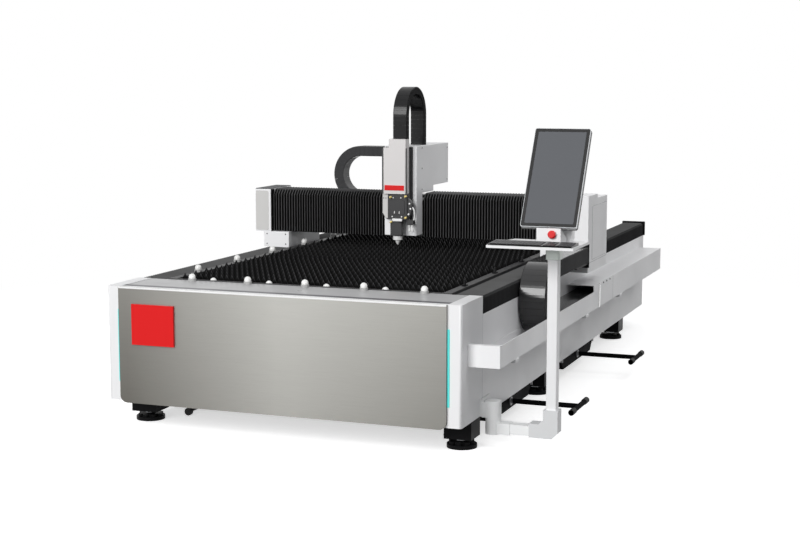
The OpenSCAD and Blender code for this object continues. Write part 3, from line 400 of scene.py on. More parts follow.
def rows(name, body, slot, finish, unit, *runs):
    """Rows of one unit as one piece: each run is its first place, its step and its count."""
    made = [row(f"{name}_{k}", unit, count, finish, start, step)
            for k, (start, step, count) in enumerate(runs)]
    return carried(joined(name, made), body)


def screw_head(axis, out, radius=SCREW_R):
    """A button head screw with a socket in it, looking out along an axis."""
    return turned(axis, [(out * h * radius, share * radius) for h, share in
                         ((-0.2, 1.0), (0.3, 1.0), (0.55, 0.78), (0.6, 0.48), (0.25, 0.42))], sides=12)


rail_steel = coated("rail_steel", shade(168, 170, 172), 0.25, metal=0.9, grain=0.001, bump=0.05)
screw_steel = coated("screw_steel", shade(96, 97, 99), 0.35, metal=0.6, grain=0.001, bump=0.05)
joint_shadow = coated("joint_shadow", shade(150, 151, 153), 0.6)

cover_middle = sum(REAR_COVER_X) / 2
for side, hand in ((-1, "left"), (1, "right")):
    cover_x = sorted(side * x for x in REAR_COVER_X)
    piece(f"rear_cover_{hand}", "bed", "white_paint", white_paint,
          plate(1, cover_x, REAR_COVER_Z, (REAR_FACE - 1 * MM, REAR_FACE + REAR_COVER_T), radius=12 * MM))
    louvre = lofted("louvre", [[Vector((x, y, z)) for y, z in LOUVRE_SECTION]
                               for x in (-LOUVRE_W / 2, LOUVRE_W / 2)])
    rows(f"rear_louvres_{hand}", "bed", "white_paint", white_paint, louvre,
         ((side * cover_middle, REAR_FACE + REAR_COVER_T - 1 * MM, REAR_COVER_Z[0] + LOUVRES_UP),
          (0, 0, 2 * LOUVRE_H), LOUVRES))
    across = cover_x[1] - cover_x[0] - 2 * COVER_SCREW_IN
    rows(f"rear_cover_screws_{hand}", "bed", "rail_steel", screw_steel, screw_head(1, 1),
         *(((cover_x[0] + COVER_SCREW_IN, REAR_FACE + REAR_COVER_T, z),
            (across / (COVER_SCREWS - 1), 0, 0), COVER_SCREWS)
           for z in (REAR_COVER_Z[0] + COVER_SCREW_IN, REAR_COVER_Z[1] - COVER_SCREW_IN)))
    piece(f"housing_joint_{hand}", "bed", "white_paint", joint_shadow,
          plate(0, (JOINT_Y - JOINT_W / 2, JOINT_Y + JOINT_W / 2), JOINT_Z,
                sorted(side * x for x in JOINT_X), radius=0.7 * MM, edge=0.3 * MM, steps=1))


# The front: a folded white housing, a satin champagne steel panel hung on it with
# a bare red plate, a grey deck on top and a light strip down each side.
# The panel's sheen is a painted reflection in its colour: dark at its left end, lightest in the middle,
# darker again towards its right end and lighter towards the top.
PANEL_SHEEN_DARK, PANEL_SHEEN_LIGHT = shade(93, 91, 85), shade(180, 179, 174)
PANEL_RISE, PANEL_FALL, PANEL_UP = 0.68, -0.4, 0.3
PANEL_BRUSH, PANEL_BRUSH_LONG = 0.0012, 0.12

panel_low, panel_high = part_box("front_panel")
panel_steel = bpy.data.materials.new("panel_steel")
panel_steel.use_nodes = True
panel_tree = panel_steel.node_tree
panel_bsdf = panel_tree.nodes["Principled BSDF"]
panel_at = add(panel_tree, "ShaderNodeTexCoord").outputs["Object"]
panel_axes = add(panel_tree, "ShaderNodeSeparateXYZ", {0: panel_at})
panel_rise = ranged(panel_tree, panel_axes.outputs["X"], 0.0, PANEL_RISE, panel_low.x * 0.95, 0.0)
panel_fall = ranged(panel_tree, panel_axes.outputs["X"], 0.0, PANEL_FALL, 0.1, panel_high.x)
panel_up = ranged(panel_tree, panel_axes.outputs["Z"], 0.0, PANEL_UP, panel_low.z, panel_high.z)
panel_across = add(panel_tree, "ShaderNodeMath", {0: panel_rise, 1: panel_fall}, operation="ADD")
panel_painted_sheen = add(panel_tree, "ShaderNodeMath", {0: panel_across.outputs[0], 1: panel_up}, operation="ADD")
panel_brush = add(panel_tree, "ShaderNodeMapping",
                  {"Vector": panel_at, "Scale": (1 / PANEL_BRUSH_LONG, 1 / PANEL_BRUSH, 1 / PANEL_BRUSH)})
panel_lines = add(panel_tree, "ShaderNodeTexNoise",
                  {"Vector": panel_brush.outputs[0], "Scale": 1.0, "Detail": 3.0, "Roughness": 0.7})
panel_sheen_colour = blended(panel_tree, panel_painted_sheen.outputs[0], PANEL_SHEEN_DARK, PANEL_SHEEN_LIGHT)
panel_streaks = blended(panel_tree, ranged(panel_tree, panel_lines.outputs["Fac"], 0.9, 1.0),
                        darker(PANEL_SHEEN_DARK, 1.0), panel_sheen_colour)
panel_tree.links.new(panel_streaks, panel_bsdf.inputs["Base Color"])
panel_satin = ranged(panel_tree, panel_lines.outputs["Fac"], 0.36, 0.5)
panel_tree.links.new(panel_satin, panel_bsdf.inputs["Roughness"])
panel_scores = add(panel_tree, "ShaderNodeBump",
                   {"Strength": 0.06, "Distance": 0.0003, "Height": panel_lines.outputs["Fac"]})
panel_tree.links.new(panel_scores.outputs["Normal"], panel_bsdf.inputs["Normal"])
panel_bsdf.inputs["Metallic"].default_value = 0.35

# The dark band on the deck right behind the panel's lip is painted shade in the fold.
DECK_FOLD_SHADE, DECK_FLAT, DECK_FADE = shade(52, 52, 58), shade(174, 174, 175), (-2.122, -2.106)
STRIP_COLOUR, STRIP_GLOW = shade(84, 206, 202), 0.3
TRIM_TALL, HOUSING_EDGE = 8 * MM, 4 * MM


def deck_painted_shade(tree):
    """Painted shade: dark in the fold behind the lip, and bright on the flat."""
    place = add(tree, "ShaderNodeTexCoord").outputs["Object"]
    back = add(tree, "ShaderNodeSeparateXYZ", {0: place}).outputs["Y"]
    return blended(tree, ranged(tree, back, 0.0, 1.0, *DECK_FADE), DECK_FOLD_SHADE, DECK_FLAT)


deck_grey = coated("deck_grey", DECK_FLAT, 0.34, metal=0.15, grain=0.0016, bump=0.05, paint=deck_painted_shade)
red_plate = coated("red_plate", shade(220, 22, 24), 0.34, grain=0.0012, bump=0.02, stain=0.02, vary=0.03,
                   gloss=0.25)
light_strip = coated("light_strip", STRIP_COLOUR, 0.4)
light_bsdf = light_strip.node_tree.nodes["Principled BSDF"]
light_bsdf.inputs["Emission Color"].default_value = STRIP_COLOUR
light_bsdf.inputs["Emission Strength"].default_value = STRIP_GLOW
dress(white_paint, "front_housing", edge=HOUSING_EDGE)
dress(panel_steel, "front_panel")
dress(deck_grey, "front_deck")
dress(red_plate, "badge_plate", "cover_badge")
dress(light_strip, "led_strips")

gloss_white = coated("gloss_white", shade(247, 247, 247), 0.3, bump=0.02)
piece("panel_trim", "bed", "white_paint", gloss_white,
      plate(1, (panel_low.x + 1 * MM, panel_high.x - 1 * MM),
            (panel_high.z - TRIM_TALL, panel_high.z + 0.6 * MM),
            (panel_low.y - 0.8 * MM, panel_low.y + 6 * MM), radius=1.5 * MM, edge=0.5 * MM, steps=2))


# The feet: black painted steel brackets on cast levelling pads, each locked by a bright
# hexagon nut under the bracket.
FOOT_X, FOOT_Y = 912 * MM, (-1.924, -0.51, 1.517)
NUT_R, NUT_Z = 34 * MM, (37 * MM, 52 * MM)

black_paint = coated("black_paint", shade(20, 20, 21), 0.42, grain=0.0025, bump=0.14, gloss=0.05)
dress(black_paint, "foot_brackets", "foot_pads", "sheet_stops")
lock_nut = turned(2, [(NUT_Z[0], NUT_R * 0.9), (NUT_Z[0] + 2 * MM, NUT_R), (NUT_Z[1] - 2 * MM, NUT_R),
                      (NUT_Z[1], NUT_R * 0.9)], sides=6)
rows("foot_nuts", "bed", "rail_steel", rail_steel, lock_nut,
     *(((-FOOT_X, y, 0), (2 * FOOT_X, 0, 0), 2) for y in FOOT_Y))


# The cutting table: a dark welded frame with three modules of toothed slats. Slats are
# mild steel burnt by the beam, nearly black on their faces and greyer on the cut edges, a grey
# that also paints their highlight; the black deep between the teeth is soot and painted shade.
SLAT_SOOT_AND_SHADE, SLAT_FACE, SLAT_EDGE_AND_HIGHLIGHT = shade(1, 1, 1), shade(46, 46, 47), shade(88, 88, 90)
SLAT_TIP, TOOTH_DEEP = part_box("slats_front")[1].z, 30 * MM


def slat_colour(tree):
    """Dark on the rolled faces, which look along the bed, lighter on the cut edges, which also
    paints their highlight, and black between the teeth with soot and painted shade."""
    place = add(tree, "ShaderNodeTexCoord")
    along = add(tree, "ShaderNodeSeparateXYZ", {0: place.outputs["Normal"]}).outputs["Y"]
    size = add(tree, "ShaderNodeMath", {0: along}, operation="ABSOLUTE").outputs[0]
    steel = blended(tree, ranged(tree, size, 1.0, 0.0, 0.3, 0.7), SLAT_FACE, SLAT_EDGE_AND_HIGHLIGHT)
    height = add(tree, "ShaderNodeSeparateXYZ", {0: place.outputs["Object"]}).outputs["Z"]
    clear_of_soot_and_shade = ranged(tree, height, 0.0, 1.0, SLAT_TIP - 0.75 * TOOTH_DEEP, SLAT_TIP - 0.1 * TOOTH_DEEP)
    return blended(tree, clear_of_soot_and_shade, SLAT_SOOT_AND_SHADE, steel)


table_steel = coated("table_steel", shade(46, 46, 47), 0.5, metal=0.3, grain=0.003, bump=0.15, stain=0.25)
slat_steel = coated("slat_steel", SLAT_FACE, 0.5, grain=0.004, bump=0.3, patches=0.05, stain=0.45, vary=0.1,
                    gloss=0.08, paint=slat_colour)
dress(table_steel, "table_frame")
dress(slat_steel, "slats_front", "slats_middle", "slats_rear")

ball_plastic = coated("ball_plastic", shade(236, 236, 234), 0.28, bump=0.02)
cup_plastic = coated("cup_plastic", shade(168, 168, 167), 0.35, bump=0.02)
dress(ball_plastic, "loading_balls")
dress(cup_plastic, "ball_cups")
dress(rail_steel, "y_rails", "x_rails", "y_guide_blocks")


# The long axis runs under bellows: black coated cloth folded into pleats with stiff
# ribs in them, open below, fixed to the housing at one end and the saddle at the other.
CLOTH_WALL = 4 * MM
LONG_PITCH, LONG_DEPTH = 24 * MM, 7 * MM
LONG_CHAMFER = 12 * MM
LONG_INNER_X, LONG_TOP, LONG_PLATE = 838 * MM, 778 * MM, 12 * MM
SHARES = (0.0, 0.04, 0.2, 0.8, 0.96, 1.0)


def share_at(weight):
    """Where along a blend its smooth ramp reaches this weight."""
    low, high = 0.0, 1.0
    for _ in range(40):
        middle = (low + high) / 2
        low, high = (middle, high) if middle * middle * (3 - 2 * middle) < weight else (low, middle)
    return (low + high) / 2


def stretch(made, axis, first, last, from_share, to_share):
    """Bakes a piece's transform into its mesh. The span that it works out along an axis from first,
    last, from_share and to_share is not used."""
    early, late = share_at(from_share), share_at(to_share)
    reach = (last - first) / (late - early)
    start, end = [0.0, 0.0, 0.0], [0.0, 0.0, 0.0]
    start[axis] = first - early * reach
    end[axis] = start[axis] + reach
    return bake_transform(made)


def cloth(name, valley, ridge, highlight_from, dust_and_top_light):
    """Coated cloth, grey along the ridges of its folds, a painted highlight, black in its valleys,
    painted shade, and where it looks up one colour of dust that also paints the light from above."""
    def shaded_folds(tree):
        fold = add(tree, "ShaderNodeAttribute", attribute_name="ridge").outputs["Fac"]
        folds = blended(tree, ranged(tree, fold, 0.0, 1.0, highlight_from, 0.98), valley, ridge)
        facing = add(tree, "ShaderNodeTexCoord").outputs["Normal"]
        upward = add(tree, "ShaderNodeSeparateXYZ", {0: facing}).outputs["Z"]
        return blended(tree, ranged(tree, upward, 0.0, 0.9, 0.55, 0.85), folds, dust_and_top_light)
    return coated(name, valley, 0.55, grain=0.0009, bump=0.35, stain=0.2, vary=0.06, gloss=0.08, paint=shaded_folds)


def pleat(name, outline, inward, axis, pitch):
    """One fold of a bellows: its outline at the ridge, and drawn in at both valleys."""
    def at(points, along):
        return [Vector((along, p[0], p[1]) if axis == 0 else (p[0], along, p[1])) for p in points]
    drawn = [(p[0] + d[0], p[1] + d[1]) for p, d in zip(outline, inward)]
    mesh = lofted(name, [at(drawn, 0.0), at(outline, pitch * 0.5), at(drawn, pitch)])
    ridge = mesh.attributes.new("ridge", "FLOAT", "POINT")
    ridge.data.foreach_set("value", [0.0] * len(drawn) + [1.0] * len(drawn) + [0.0] * len(drawn))
    return mesh


def folded(label, finish, outlines, inward, axis, first, last, pitch, node):
    """A bellows from first to last in parts of folds, in place of a CAD node, which is hidden."""
    for part in range(len(SHARES) - 1):
        low, high = SHARES[part], SHARES[part + 1]
        begin = first + (last - first) * low
        end = first + (last - first) * high
        count = max(1, round(abs(end - begin) / pitch))
        step = [0.0, 0.0, 0.0]
        step[axis] = (end - begin) / count
        start = [0.0, 0.0, 0.0]
        start[axis] = begin
        sides = []
        for side, outline in enumerate(outlines):
            unit = pleat(f"{label}_fold", outline, inward[side], axis, step[axis])
            sides.append(row(f"{label}_{part}_{side}", unit, count, finish, start=start, step=step))
        folds = joined(f"{label}_{part}", sides)
        stretch(folds, axis, begin, end, low, high)
        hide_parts(node)


def long_outline(side, low, high):
    """The open-bottomed section of a long bellows, and how far each point draws in."""
    near, far = side * LONG_INNER_X, side * high.x
    base, top, cut, deep = low.z, LONG_TOP, LONG_CHAMFER, side * LONG_DEPTH
    hollow = side * (CLOTH_WALL + LONG_DEPTH)
    under = top - CLOTH_WALL - LONG_DEPTH
    outer = [(near, base), (near, top - cut), (near + side * cut, top), (far - side * cut, top),
             (far, top - cut), (far, base)]
    inner = [(far - hollow, base), (far - hollow, under), (near + hollow, under), (near + hollow, base)]
    inward = [(deep, 0), (deep, -LONG_DEPTH * 0.4), (deep * 0.4, -LONG_DEPTH), (-deep * 0.4, -LONG_DEPTH),
              (-deep, -LONG_DEPTH * 0.4), (-deep, 0)] + [(0, 0)] * 4
    return outer + inner, inward


long_cloth = cloth("long_cloth", shade(10, 10, 11), shade(44, 44, 45), 0.4, shade(92, 92, 92))
front_low, front_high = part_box("y_bellows_front")
rear_low, rear_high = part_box("y_bellows_rear")
long_sections = [long_outline(side, front_low, front_high) for side in (-1, 1)]
long_outlines, long_inward = [s[0] for s in long_sections], [s[1] for s in long_sections]
folded("front_bellows", long_cloth, long_outlines, long_inward, 1, front_low.y, front_high.y, LONG_PITCH,
       "y_bellows_front")
folded("rear_bellows", long_cloth, long_outlines, long_inward, 1, rear_low.y, rear_high.y - LONG_PLATE,
       LONG_PITCH, "y_bellows_rear")
for side, hand in ((-1, "left"), (1, "right")):
    piece(f"rear_bellows_plate_{hand}", "bed", "black_paint", black_paint,
          plate(1, sorted((side * LONG_INNER_X, side * rear_high.x)), (rear_low.z, rear_high.z),
                (rear_high.y - LONG_PLATE, rear_high.y), radius=6 * MM, edge=1.5 * MM))


# The cable tray along the right side is a folded white trough on three clips, with a
# lid that starts with a bright steel edge over its rear half. The long chain lies in
# it: black plastic links with snap-on lids.
LINK_GAP = 0.8 * MM
LINK_CHAMFER = 4 * MM
LOOP_LINKS = 16
LONG_CHAIN_R, LONG_CHAIN_T, LONG_CHAIN_END = 200 * MM, 98 * MM, -228 * MM
TRAY_SIDE = 1168 * MM
LID_SCREW_Y, LID_SCREW_Z, LID_SCREW_STEP = 45 * MM, 598 * MM, 91 * MM
LID_Z, LID_EDGE_Y, LID_EDGE_PROUD = (460 * MM, 609 * MM), (5 * MM, 19 * MM), 8 * MM
LID_JOINT_Y = (409 * MM, 411 * MM)
CLIP_X, CLIP_Z = (1090 * MM, 1172 * MM), (438 * MM, 458 * MM)
CLIP_Y, CLIP_HALF = (-1807 * MM, -293 * MM, 647 * MM), 34 * MM
TRAY_EDGE = 1.2 * MM

dress(white_paint, "cable_tray", "tray_cover", edge=TRAY_EDGE)
rows("lid_screws", "bed", "rail_steel", screw_steel, screw_head(0, 1, 6 * MM),
     ((TRAY_SIDE, LID_SCREW_Y, LID_SCREW_Z), (0, LID_SCREW_STEP, 0), 4))
edge_steel = coated("edge_steel", shade(240, 240, 240), 0.2, metal=0.9, grain=0.001, bump=0.03, vary=0.04)
piece("lid_edge", "bed", "rail_steel", edge_steel,
      plate(0, LID_EDGE_Y, LID_Z, (TRAY_SIDE - 1 * MM, TRAY_SIDE + LID_EDGE_PROUD), radius=3 * MM))
piece("lid_joints", "bed", "white_paint", joint_shadow,
      plate(0, LID_JOINT_Y, LID_Z, (TRAY_SIDE - 1 * MM, TRAY_SIDE + 0.4 * MM),
            radius=0.8 * MM, edge=0.3 * MM, steps=1))
piece("tray_clips", "bed", "white_paint", white_paint,
      *(plate(2, CLIP_X, (y - CLIP_HALF, y + CLIP_HALF), CLIP_Z, radius=8 * MM, edge=3 * MM) for y in CLIP_Y))


def link_plastic(name, axis, colour, shine):
    """Moulded links: dull side plates, which look along an axis, and smooth lids between them."""
    made = coated(name, colour, 0.45, grain=0.0015, bump=0.06, stain=0.1, vary=0.05, gloss=0.01)
    tree = made.node_tree
    bsdf = tree.nodes["Principled BSDF"]
    facing = add(tree, "ShaderNodeTexCoord").outputs["Normal"]
    aside = add(tree, "ShaderNodeSeparateXYZ", {0: facing}).outputs[axis]
    size = add(tree, "ShaderNodeMath", {0: aside}, operation="ABSOLUTE").outputs[0]
    tree.links.new(ranged(tree, size, shine, 0.0, 0.3, 0.8), bsdf.inputs["Coat Weight"])
    bsdf.inputs["Coat Roughness"].default_value = 0.16
    return made


def chain(label, node, colour, shine, bodies, wide, centre, across, outer, thick, ends, turn_side):
    """A cable chain of two straight runs and a half loop. wide is its two faces along the
    loop's axis, centre the loop's, across the two axes of its plane, and ends how far the
    moving and the fixed run reach along the first of them."""
    along, up = across
    axis = 3 - along - up
    plastic = link_plastic(f"{label}_plastic", axis, colour, shine)
    pitch = math.pi * (outer - thick / 2) / LOOP_LINKS

    def section(radius):
        low, high, cut = radius, radius + thick, LINK_CHAMFER
        return [(wide[0], low + cut), (wide[0], high - cut), (wide[0] + cut, high), (wide[1] - cut, high),
                (wide[1], high - cut), (wide[1], low + cut), (wide[1] - cut, low), (wide[0] + cut, low)]

    def point(distance, height, breadth):
        place = [0.0, 0.0, 0.0]
        place[along], place[up], place[axis] = distance, height, breadth
        return Vector(place)

    def run(part, height, begin, finish, weights, still, moving):
        for k in range(len(weights) - 1):
            span = [begin + (finish - begin) * (w - weights[0]) / (weights[-1] - weights[0])
                    for w in weights[k:k + 2]]
            count = max(1, round(abs(span[1] - span[0]) / pitch))
            step = (span[1] - span[0]) / count
            gap = math.copysign(LINK_GAP, step)
            unit = lofted(label, [[point(d, h, b) for b, h in section(height)]
                                  for d in (gap / 2, step - gap / 2)])
            links = row(f"{label}_{part}_{k}", unit, count, plastic,
                        start=point(span[0], 0, 0), step=point(step, 0, 0))
            stretch(links, along, span[0], span[1], weights[k], weights[k + 1])
            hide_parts(node)

    still, moving = bodies
    inner = outer - thick
    step = math.pi / LOOP_LINKS
    gap = LINK_GAP / outer

    def bent(angle):
        """The link's section at an angle round the loop, from its top."""
        return [point(turn_side * r * math.sin(angle), r * math.cos(angle), b) for b, r in section(inner)]
    turn = [0.0, 0.0, 0.0]
    spin = point(1, 0, 0).cross(point(0, 1, 0))
    turn[axis] = -turn_side * step * spin[axis]
    unit = lofted(label, [bent(gap / 2 + (step - gap) * k / 3) for k in range(4)])
    loop = row(f"{label}_loop", unit, LOOP_LINKS, plastic, start=point(centre[0], centre[1], 0), turn=turn)
    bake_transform(loop)
    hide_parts(node)
    moving_end, fixed_end = ends
    run("moving", centre[1] + inner, centre[0], moving_end, (0.5, 0.8, 0.96, 1.0), still, moving)
    run("fixed", centre[1] - outer, fixed_end, centre[0], (0.0, 0.04, 0.2, 0.5), still, moving)


long_chain_low, long_chain_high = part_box("y_chain")
chain("long_chain", "y_chain", shade(38, 38, 39), 1.0, ("bed", "gantry"),
      (long_chain_low.x, long_chain_high.x),
      (long_chain_low.y + LONG_CHAIN_R, long_chain_low.z + LONG_CHAIN_R), (1, 2),
      LONG_CHAIN_R, LONG_CHAIN_T, (LONG_CHAIN_END, long_chain_high.y), -1)


# The gantry: a box beam on two saddles, with white covers on its ends. The left cover
# has a grey inset plate and a dark lid, the right one a service door down its side.
END_COVER_EDGE = 4 * MM
SADDLE_SCREW_X, SADDLE_SCREW_STEP, SADDLE_SCREW_Z = 872 * MM, 134 * MM, (797 * MM, 862 * MM)
DOOR_Y, DOOR_Z, LEG_JOINT_Z = (-115 * MM, 262 * MM), (772 * MM, 1100 * MM), 757 * MM

dress(white_paint, "saddles", "end_cover_left", "end_cover_right", edge=END_COVER_EDGE)
dress(white_paint, "gantry_beam", "x_chain_tray")
dress(black_paint, "y_chain_bracket")
inset_grey = coated("inset_grey", shade(206, 205, 203), 0.42, stain=0.03)
lid_grey = coated("lid_grey", shade(70, 71, 73), 0.5, grain=0.0016, bump=0.05, gloss=0.05)

cap_low, cap_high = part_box("end_cover_left")
leg_low, leg_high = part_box("end_cover_right")
saddle_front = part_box("saddles")[0].y
piece("left_cover_plate", "gantry", "cover_grey", inset_grey,
      plate(1, (cap_low.x + 4 * MM, cap_high.x - 15 * MM), (cap_low.z + 8 * MM, cap_high.z - 12 * MM),
            (cap_low.y - 1.5 * MM, cap_low.y + 1 * MM), radius=10 * MM))
piece("left_cover_lid", "gantry", "deck_grey", lid_grey,
      plate(2, (cap_low.x + 1 * MM, cap_high.x - 1 * MM), (cap_low.y + 1 * MM, cap_high.y - 1 * MM),
            (cap_high.z - 1 * MM, cap_high.z + 3 * MM), radius=5 * MM, edge=1.5 * MM))
rows("saddle_screws", "gantry", "rail_steel", screw_steel, screw_head(1, -1, 4.5 * MM),
     *(((side * SADDLE_SCREW_X, saddle_front, z), (side * SADDLE_SCREW_STEP, 0, 0), 2)
       for side in (-1, 1) for z in SADDLE_SCREW_Z))
piece("leg_door_joint", "gantry", "white_paint", joint_shadow,
      plate(0, (DOOR_Y[0] - 2 * MM, DOOR_Y[1] + 2 * MM), (DOOR_Z[0] - 2 * MM, DOOR_Z[1] + 2 * MM),
            (leg_high.x - 1 * MM, leg_high.x + 0.4 * MM), radius=8 * MM, edge=0.3 * MM),
      plate(0, (leg_low.y + 2 * MM, leg_high.y - 2 * MM), (LEG_JOINT_Z, LEG_JOINT_Z + 2 * MM),
            (leg_high.x - 1 * MM, leg_high.x + 0.4 * MM), radius=0.8 * MM, edge=0.3 * MM, steps=1))
piece("leg_door", "gantry", "white_paint", white_paint,
      plate(0, DOOR_Y, DOOR_Z, (leg_high.x - 1 * MM, leg_high.x + 1.6 * MM), radius=7 * MM, edge=0.6 * MM))


# Pleated cloth covers the beam's rails on both sides of the carriage, chamfered along its
# front edge and held in a black frame at the left. The beam's own chain lies behind it.
SHORT_PITCH, SHORT_DEPTH, SHORT_CHAMFER = 18 * MM, 11 * MM, 33 * MM
FRAME_T, FRAME_IN, FRAME_BACK = 2 * MM, 6 * MM, 20 * MM
CROSS_CHAIN_R, CROSS_CHAIN_T, CROSS_CHAIN_END = 188 * MM, 66 * MM, 40 * MM

cross_cloth = cloth("cross_cloth", shade(5, 5, 5), shade(112, 112, 113), 0.66, shade(34, 34, 34))
cloth_low, cloth_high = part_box("x_bellows")
housing_low, housing_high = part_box("carriage_housing")
cross_front, cross_top = cloth_low.y, cloth_high.z
piece("bellows_frame", "gantry", "black_paint", black_paint,
      plate(0, (cap_low.y + FRAME_IN, cross_front + FRAME_BACK), (cloth_low.z, cross_top),
            (cap_high.x - 1 * MM, cap_high.x + FRAME_T)))
cross_outline = [(cross_front, cloth_low.z), (cross_front, cross_top - SHORT_CHAMFER),
                 (cross_front + SHORT_CHAMFER, cross_top), (cloth_high.y, cross_top),
                 (cloth_high.y, cross_top - SHORT_DEPTH - CLOTH_WALL),
                 (cross_front + SHORT_CHAMFER + CLOTH_WALL, cross_top - SHORT_DEPTH - CLOTH_WALL),
                 (cross_front + SHORT_DEPTH + CLOTH_WALL, cross_top - SHORT_CHAMFER - SHORT_DEPTH),
                 (cross_front + SHORT_DEPTH + CLOTH_WALL, cloth_low.z)]
cross_inward = [(SHORT_DEPTH, 0), (SHORT_DEPTH, -SHORT_DEPTH * 0.4), (SHORT_DEPTH * 0.4, -SHORT_DEPTH),
                (0, -SHORT_DEPTH)] + [(0, 0)] * 4
folded("cross_bellows_left", cross_cloth, [cross_outline], [cross_inward], 0, cloth_low.x, housing_low.x,
       SHORT_PITCH, "x_bellows")
folded("cross_bellows_right", cross_cloth, [cross_outline], [cross_inward], 0, housing_high.x, cloth_high.x,
       SHORT_PITCH, "x_bellows")

cross_chain_low, cross_chain_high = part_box("x_chain")
chain("cross_chain", "x_chain", shade(68, 68, 69), 0.5, ("gantry", "carriage"),
      (cross_chain_low.y, cross_chain_high.y),
      (cross_chain_low.x + CROSS_CHAIN_R, cross_chain_low.z + CROSS_CHAIN_R), (0, 2),
      CROSS_CHAIN_R, CROSS_CHAIN_T, (CROSS_CHAIN_END, cross_chain_high.x), -1)


# The carriage: a grey sheet housing that hangs over the beam, with the head's guide in
# front and the head's cable chain arched over the top.
HEAD_CHAIN_R, HEAD_CHAIN_T = 180 * MM, 45 * MM
HEAD_CHAIN_Z, HEAD_CHAIN_LEGS = 1644 * MM, (1455 * MM, 1504.3 * MM)
HOUSING_SCREWS = ((-206, 1183, 130, 3), (280, 1215, 210, 2))
CARRIAGE_EDGE = 3 * MM

cover_grey = coated("cover_grey", shade(244, 244, 245), 0.4, stain=0.03)
dark_alu = coated("dark_alu", shade(52, 52, 53), 0.42, grain=0.0015, bump=0.06, gloss=0.35)
dress(cover_grey, "carriage_housing", edge=CARRIAGE_EDGE)
dress(dark_alu, "carriage_plate", "z_guide", "z_slide")
cover_screws = coated("cover_screws", shade(150, 151, 153), 0.4, metal=0.4, grain=0.001, bump=0.05)
for label, out, x in (("housing_screws", 1, housing_high.x), ("housing_screws_left", -1, housing_low.x)):
    rows(label, "carriage", "rail_steel", cover_screws, screw_head(0, out, 5 * MM),
         *(((x, y * MM, z * MM), (0, 0, step * MM), count) for y, z, step, count in HOUSING_SCREWS))

head_chain_low, head_chain_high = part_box("z_chain")
chain("head_chain", "z_chain", shade(24, 24, 25), 0.5, ("head", "carriage"),
      (head_chain_low.x, head_chain_high.x),
      (HEAD_CHAIN_Z, head_chain_low.y + HEAD_CHAIN_R), (2, 1), HEAD_CHAIN_R, HEAD_CHAIN_T, HEAD_CHAIN_LEGS, 1)


# The cutting head: a dark machined body behind a grey cover, with a light side plate, a
# lens drawer, brass and steel fittings, a bent gas pipe and a bright nozzle.
FACE_Y = -400 * MM
FACE_PLATES = (((-72, 26), (1034, 1128), (-4, 1), 10), ((-66, 6), (903, 986), (-4, 30), 6),
               ((40, 82), (972, 1003), (6, 40), 5))
FITTINGS = ((-63, 1142), (36, 1149), (36, 1016), (-61, 987))
BODY_SCREWS = ((-48, 1140, 51), (-55, 1022, 62))
RIM_SCREWS = ((56, 1104), (62, 1073), (50, 1038))
DISC_R, DISC_Z = 74 * MM, 1078 * MM
VALVES_X, VALVES_Y = (51 * MM, 70 * MM), -378 * MM
VALVE = ((976, 8), (962, 8), (960, 5.5), (946, 5.5), (944, 8.5), (930, 8.5), (927, 5))
COVER_EDGE_TOP, HEAD_COVER_EDGE = 1448 * MM, 2 * MM
PIPE = ((70, 1082), (79, 1072), (84, 1058), (86, 1040), (86, 1020), (83, 1006), (76, 998))

nozzle_steel = coated("nozzle_steel", shade(236, 236, 235), 0.26, metal=0.15, grain=0.001, bump=0.04)
brass = coated("fitting_brass", shade(214, 196, 128), 0.28, metal=0.8, grain=0.001, bump=0.04)
head_cover = coated("head_cover", shade(217, 214, 213), 0.4, stain=0.03)
dress(head_cover, "z_cover", edge=HEAD_COVER_EDGE)
dress(inset_grey, "head_bracket")
dress(dark_alu, "cutting_head")
dress(nozzle_steel, "nozzle")

fitting = turned(1, [(2 * MM, 8 * MM), (-5 * MM, 8 * MM), (-6 * MM, 5.5 * MM), (-13 * MM, 5.5 * MM),
                     (-14 * MM, 6.5 * MM), (-17 * MM, 6.5 * MM), (-18 * MM, 4 * MM)], sides=6)
rows("head_fittings", "head", "nozzle_steel", brass, fitting,
     *(((x * MM, FACE_Y, z * MM), (0, 0, 0), 1) for x, z in FITTINGS))
piece("head_face", "head", "dark_alu", dark_alu,
      *(plate(1, [x * MM for x in wide], [z * MM for z in tall], [FACE_Y + y * MM for y in deep],
              radius=r * MM)
        for wide, tall, deep, r in FACE_PLATES),
      turned(1, [(FACE_Y + 10 * MM, DISC_R - 4 * MM), (FACE_Y + 14 * MM, DISC_R), (FACE_Y + 42 * MM, DISC_R),
                 (FACE_Y + 46 * MM, DISC_R - 4 * MM)], (0, 0, DISC_Z), sides=48))
piece("gas_valves", "head", "nozzle_steel", nozzle_steel,
      *(turned(2, [(z * MM, r * MM) for z, r in VALVE], (x, VALVES_Y, 0)) for x in VALVES_X))
piece("lens_drawer", "head", "cover_grey", gloss_white,
      plate(1, (-54 * MM, 13 * MM), (993 * MM, 1010 * MM), (FACE_Y - 10 * MM, FACE_Y + 4 * MM), radius=7 * MM,
            edge=3 * MM))
piece("head_pins", "head", "nozzle_steel", nozzle_steel,
      *(plate(1, ((x - 2.5) * MM, (x + 2.5) * MM), (1041 * MM, 1057 * MM), (FACE_Y - 8 * MM, FACE_Y - 3 * MM),
              radius=2 * MM) for x in (-38, -6)))
rows("head_screws", "head", "nozzle_steel", nozzle_steel, screw_head(1, -1, 4.5 * MM),
     *(((x * MM, FACE_Y, z * MM), (wide * MM, 0, 0), 2) for x, z, wide in BODY_SCREWS))
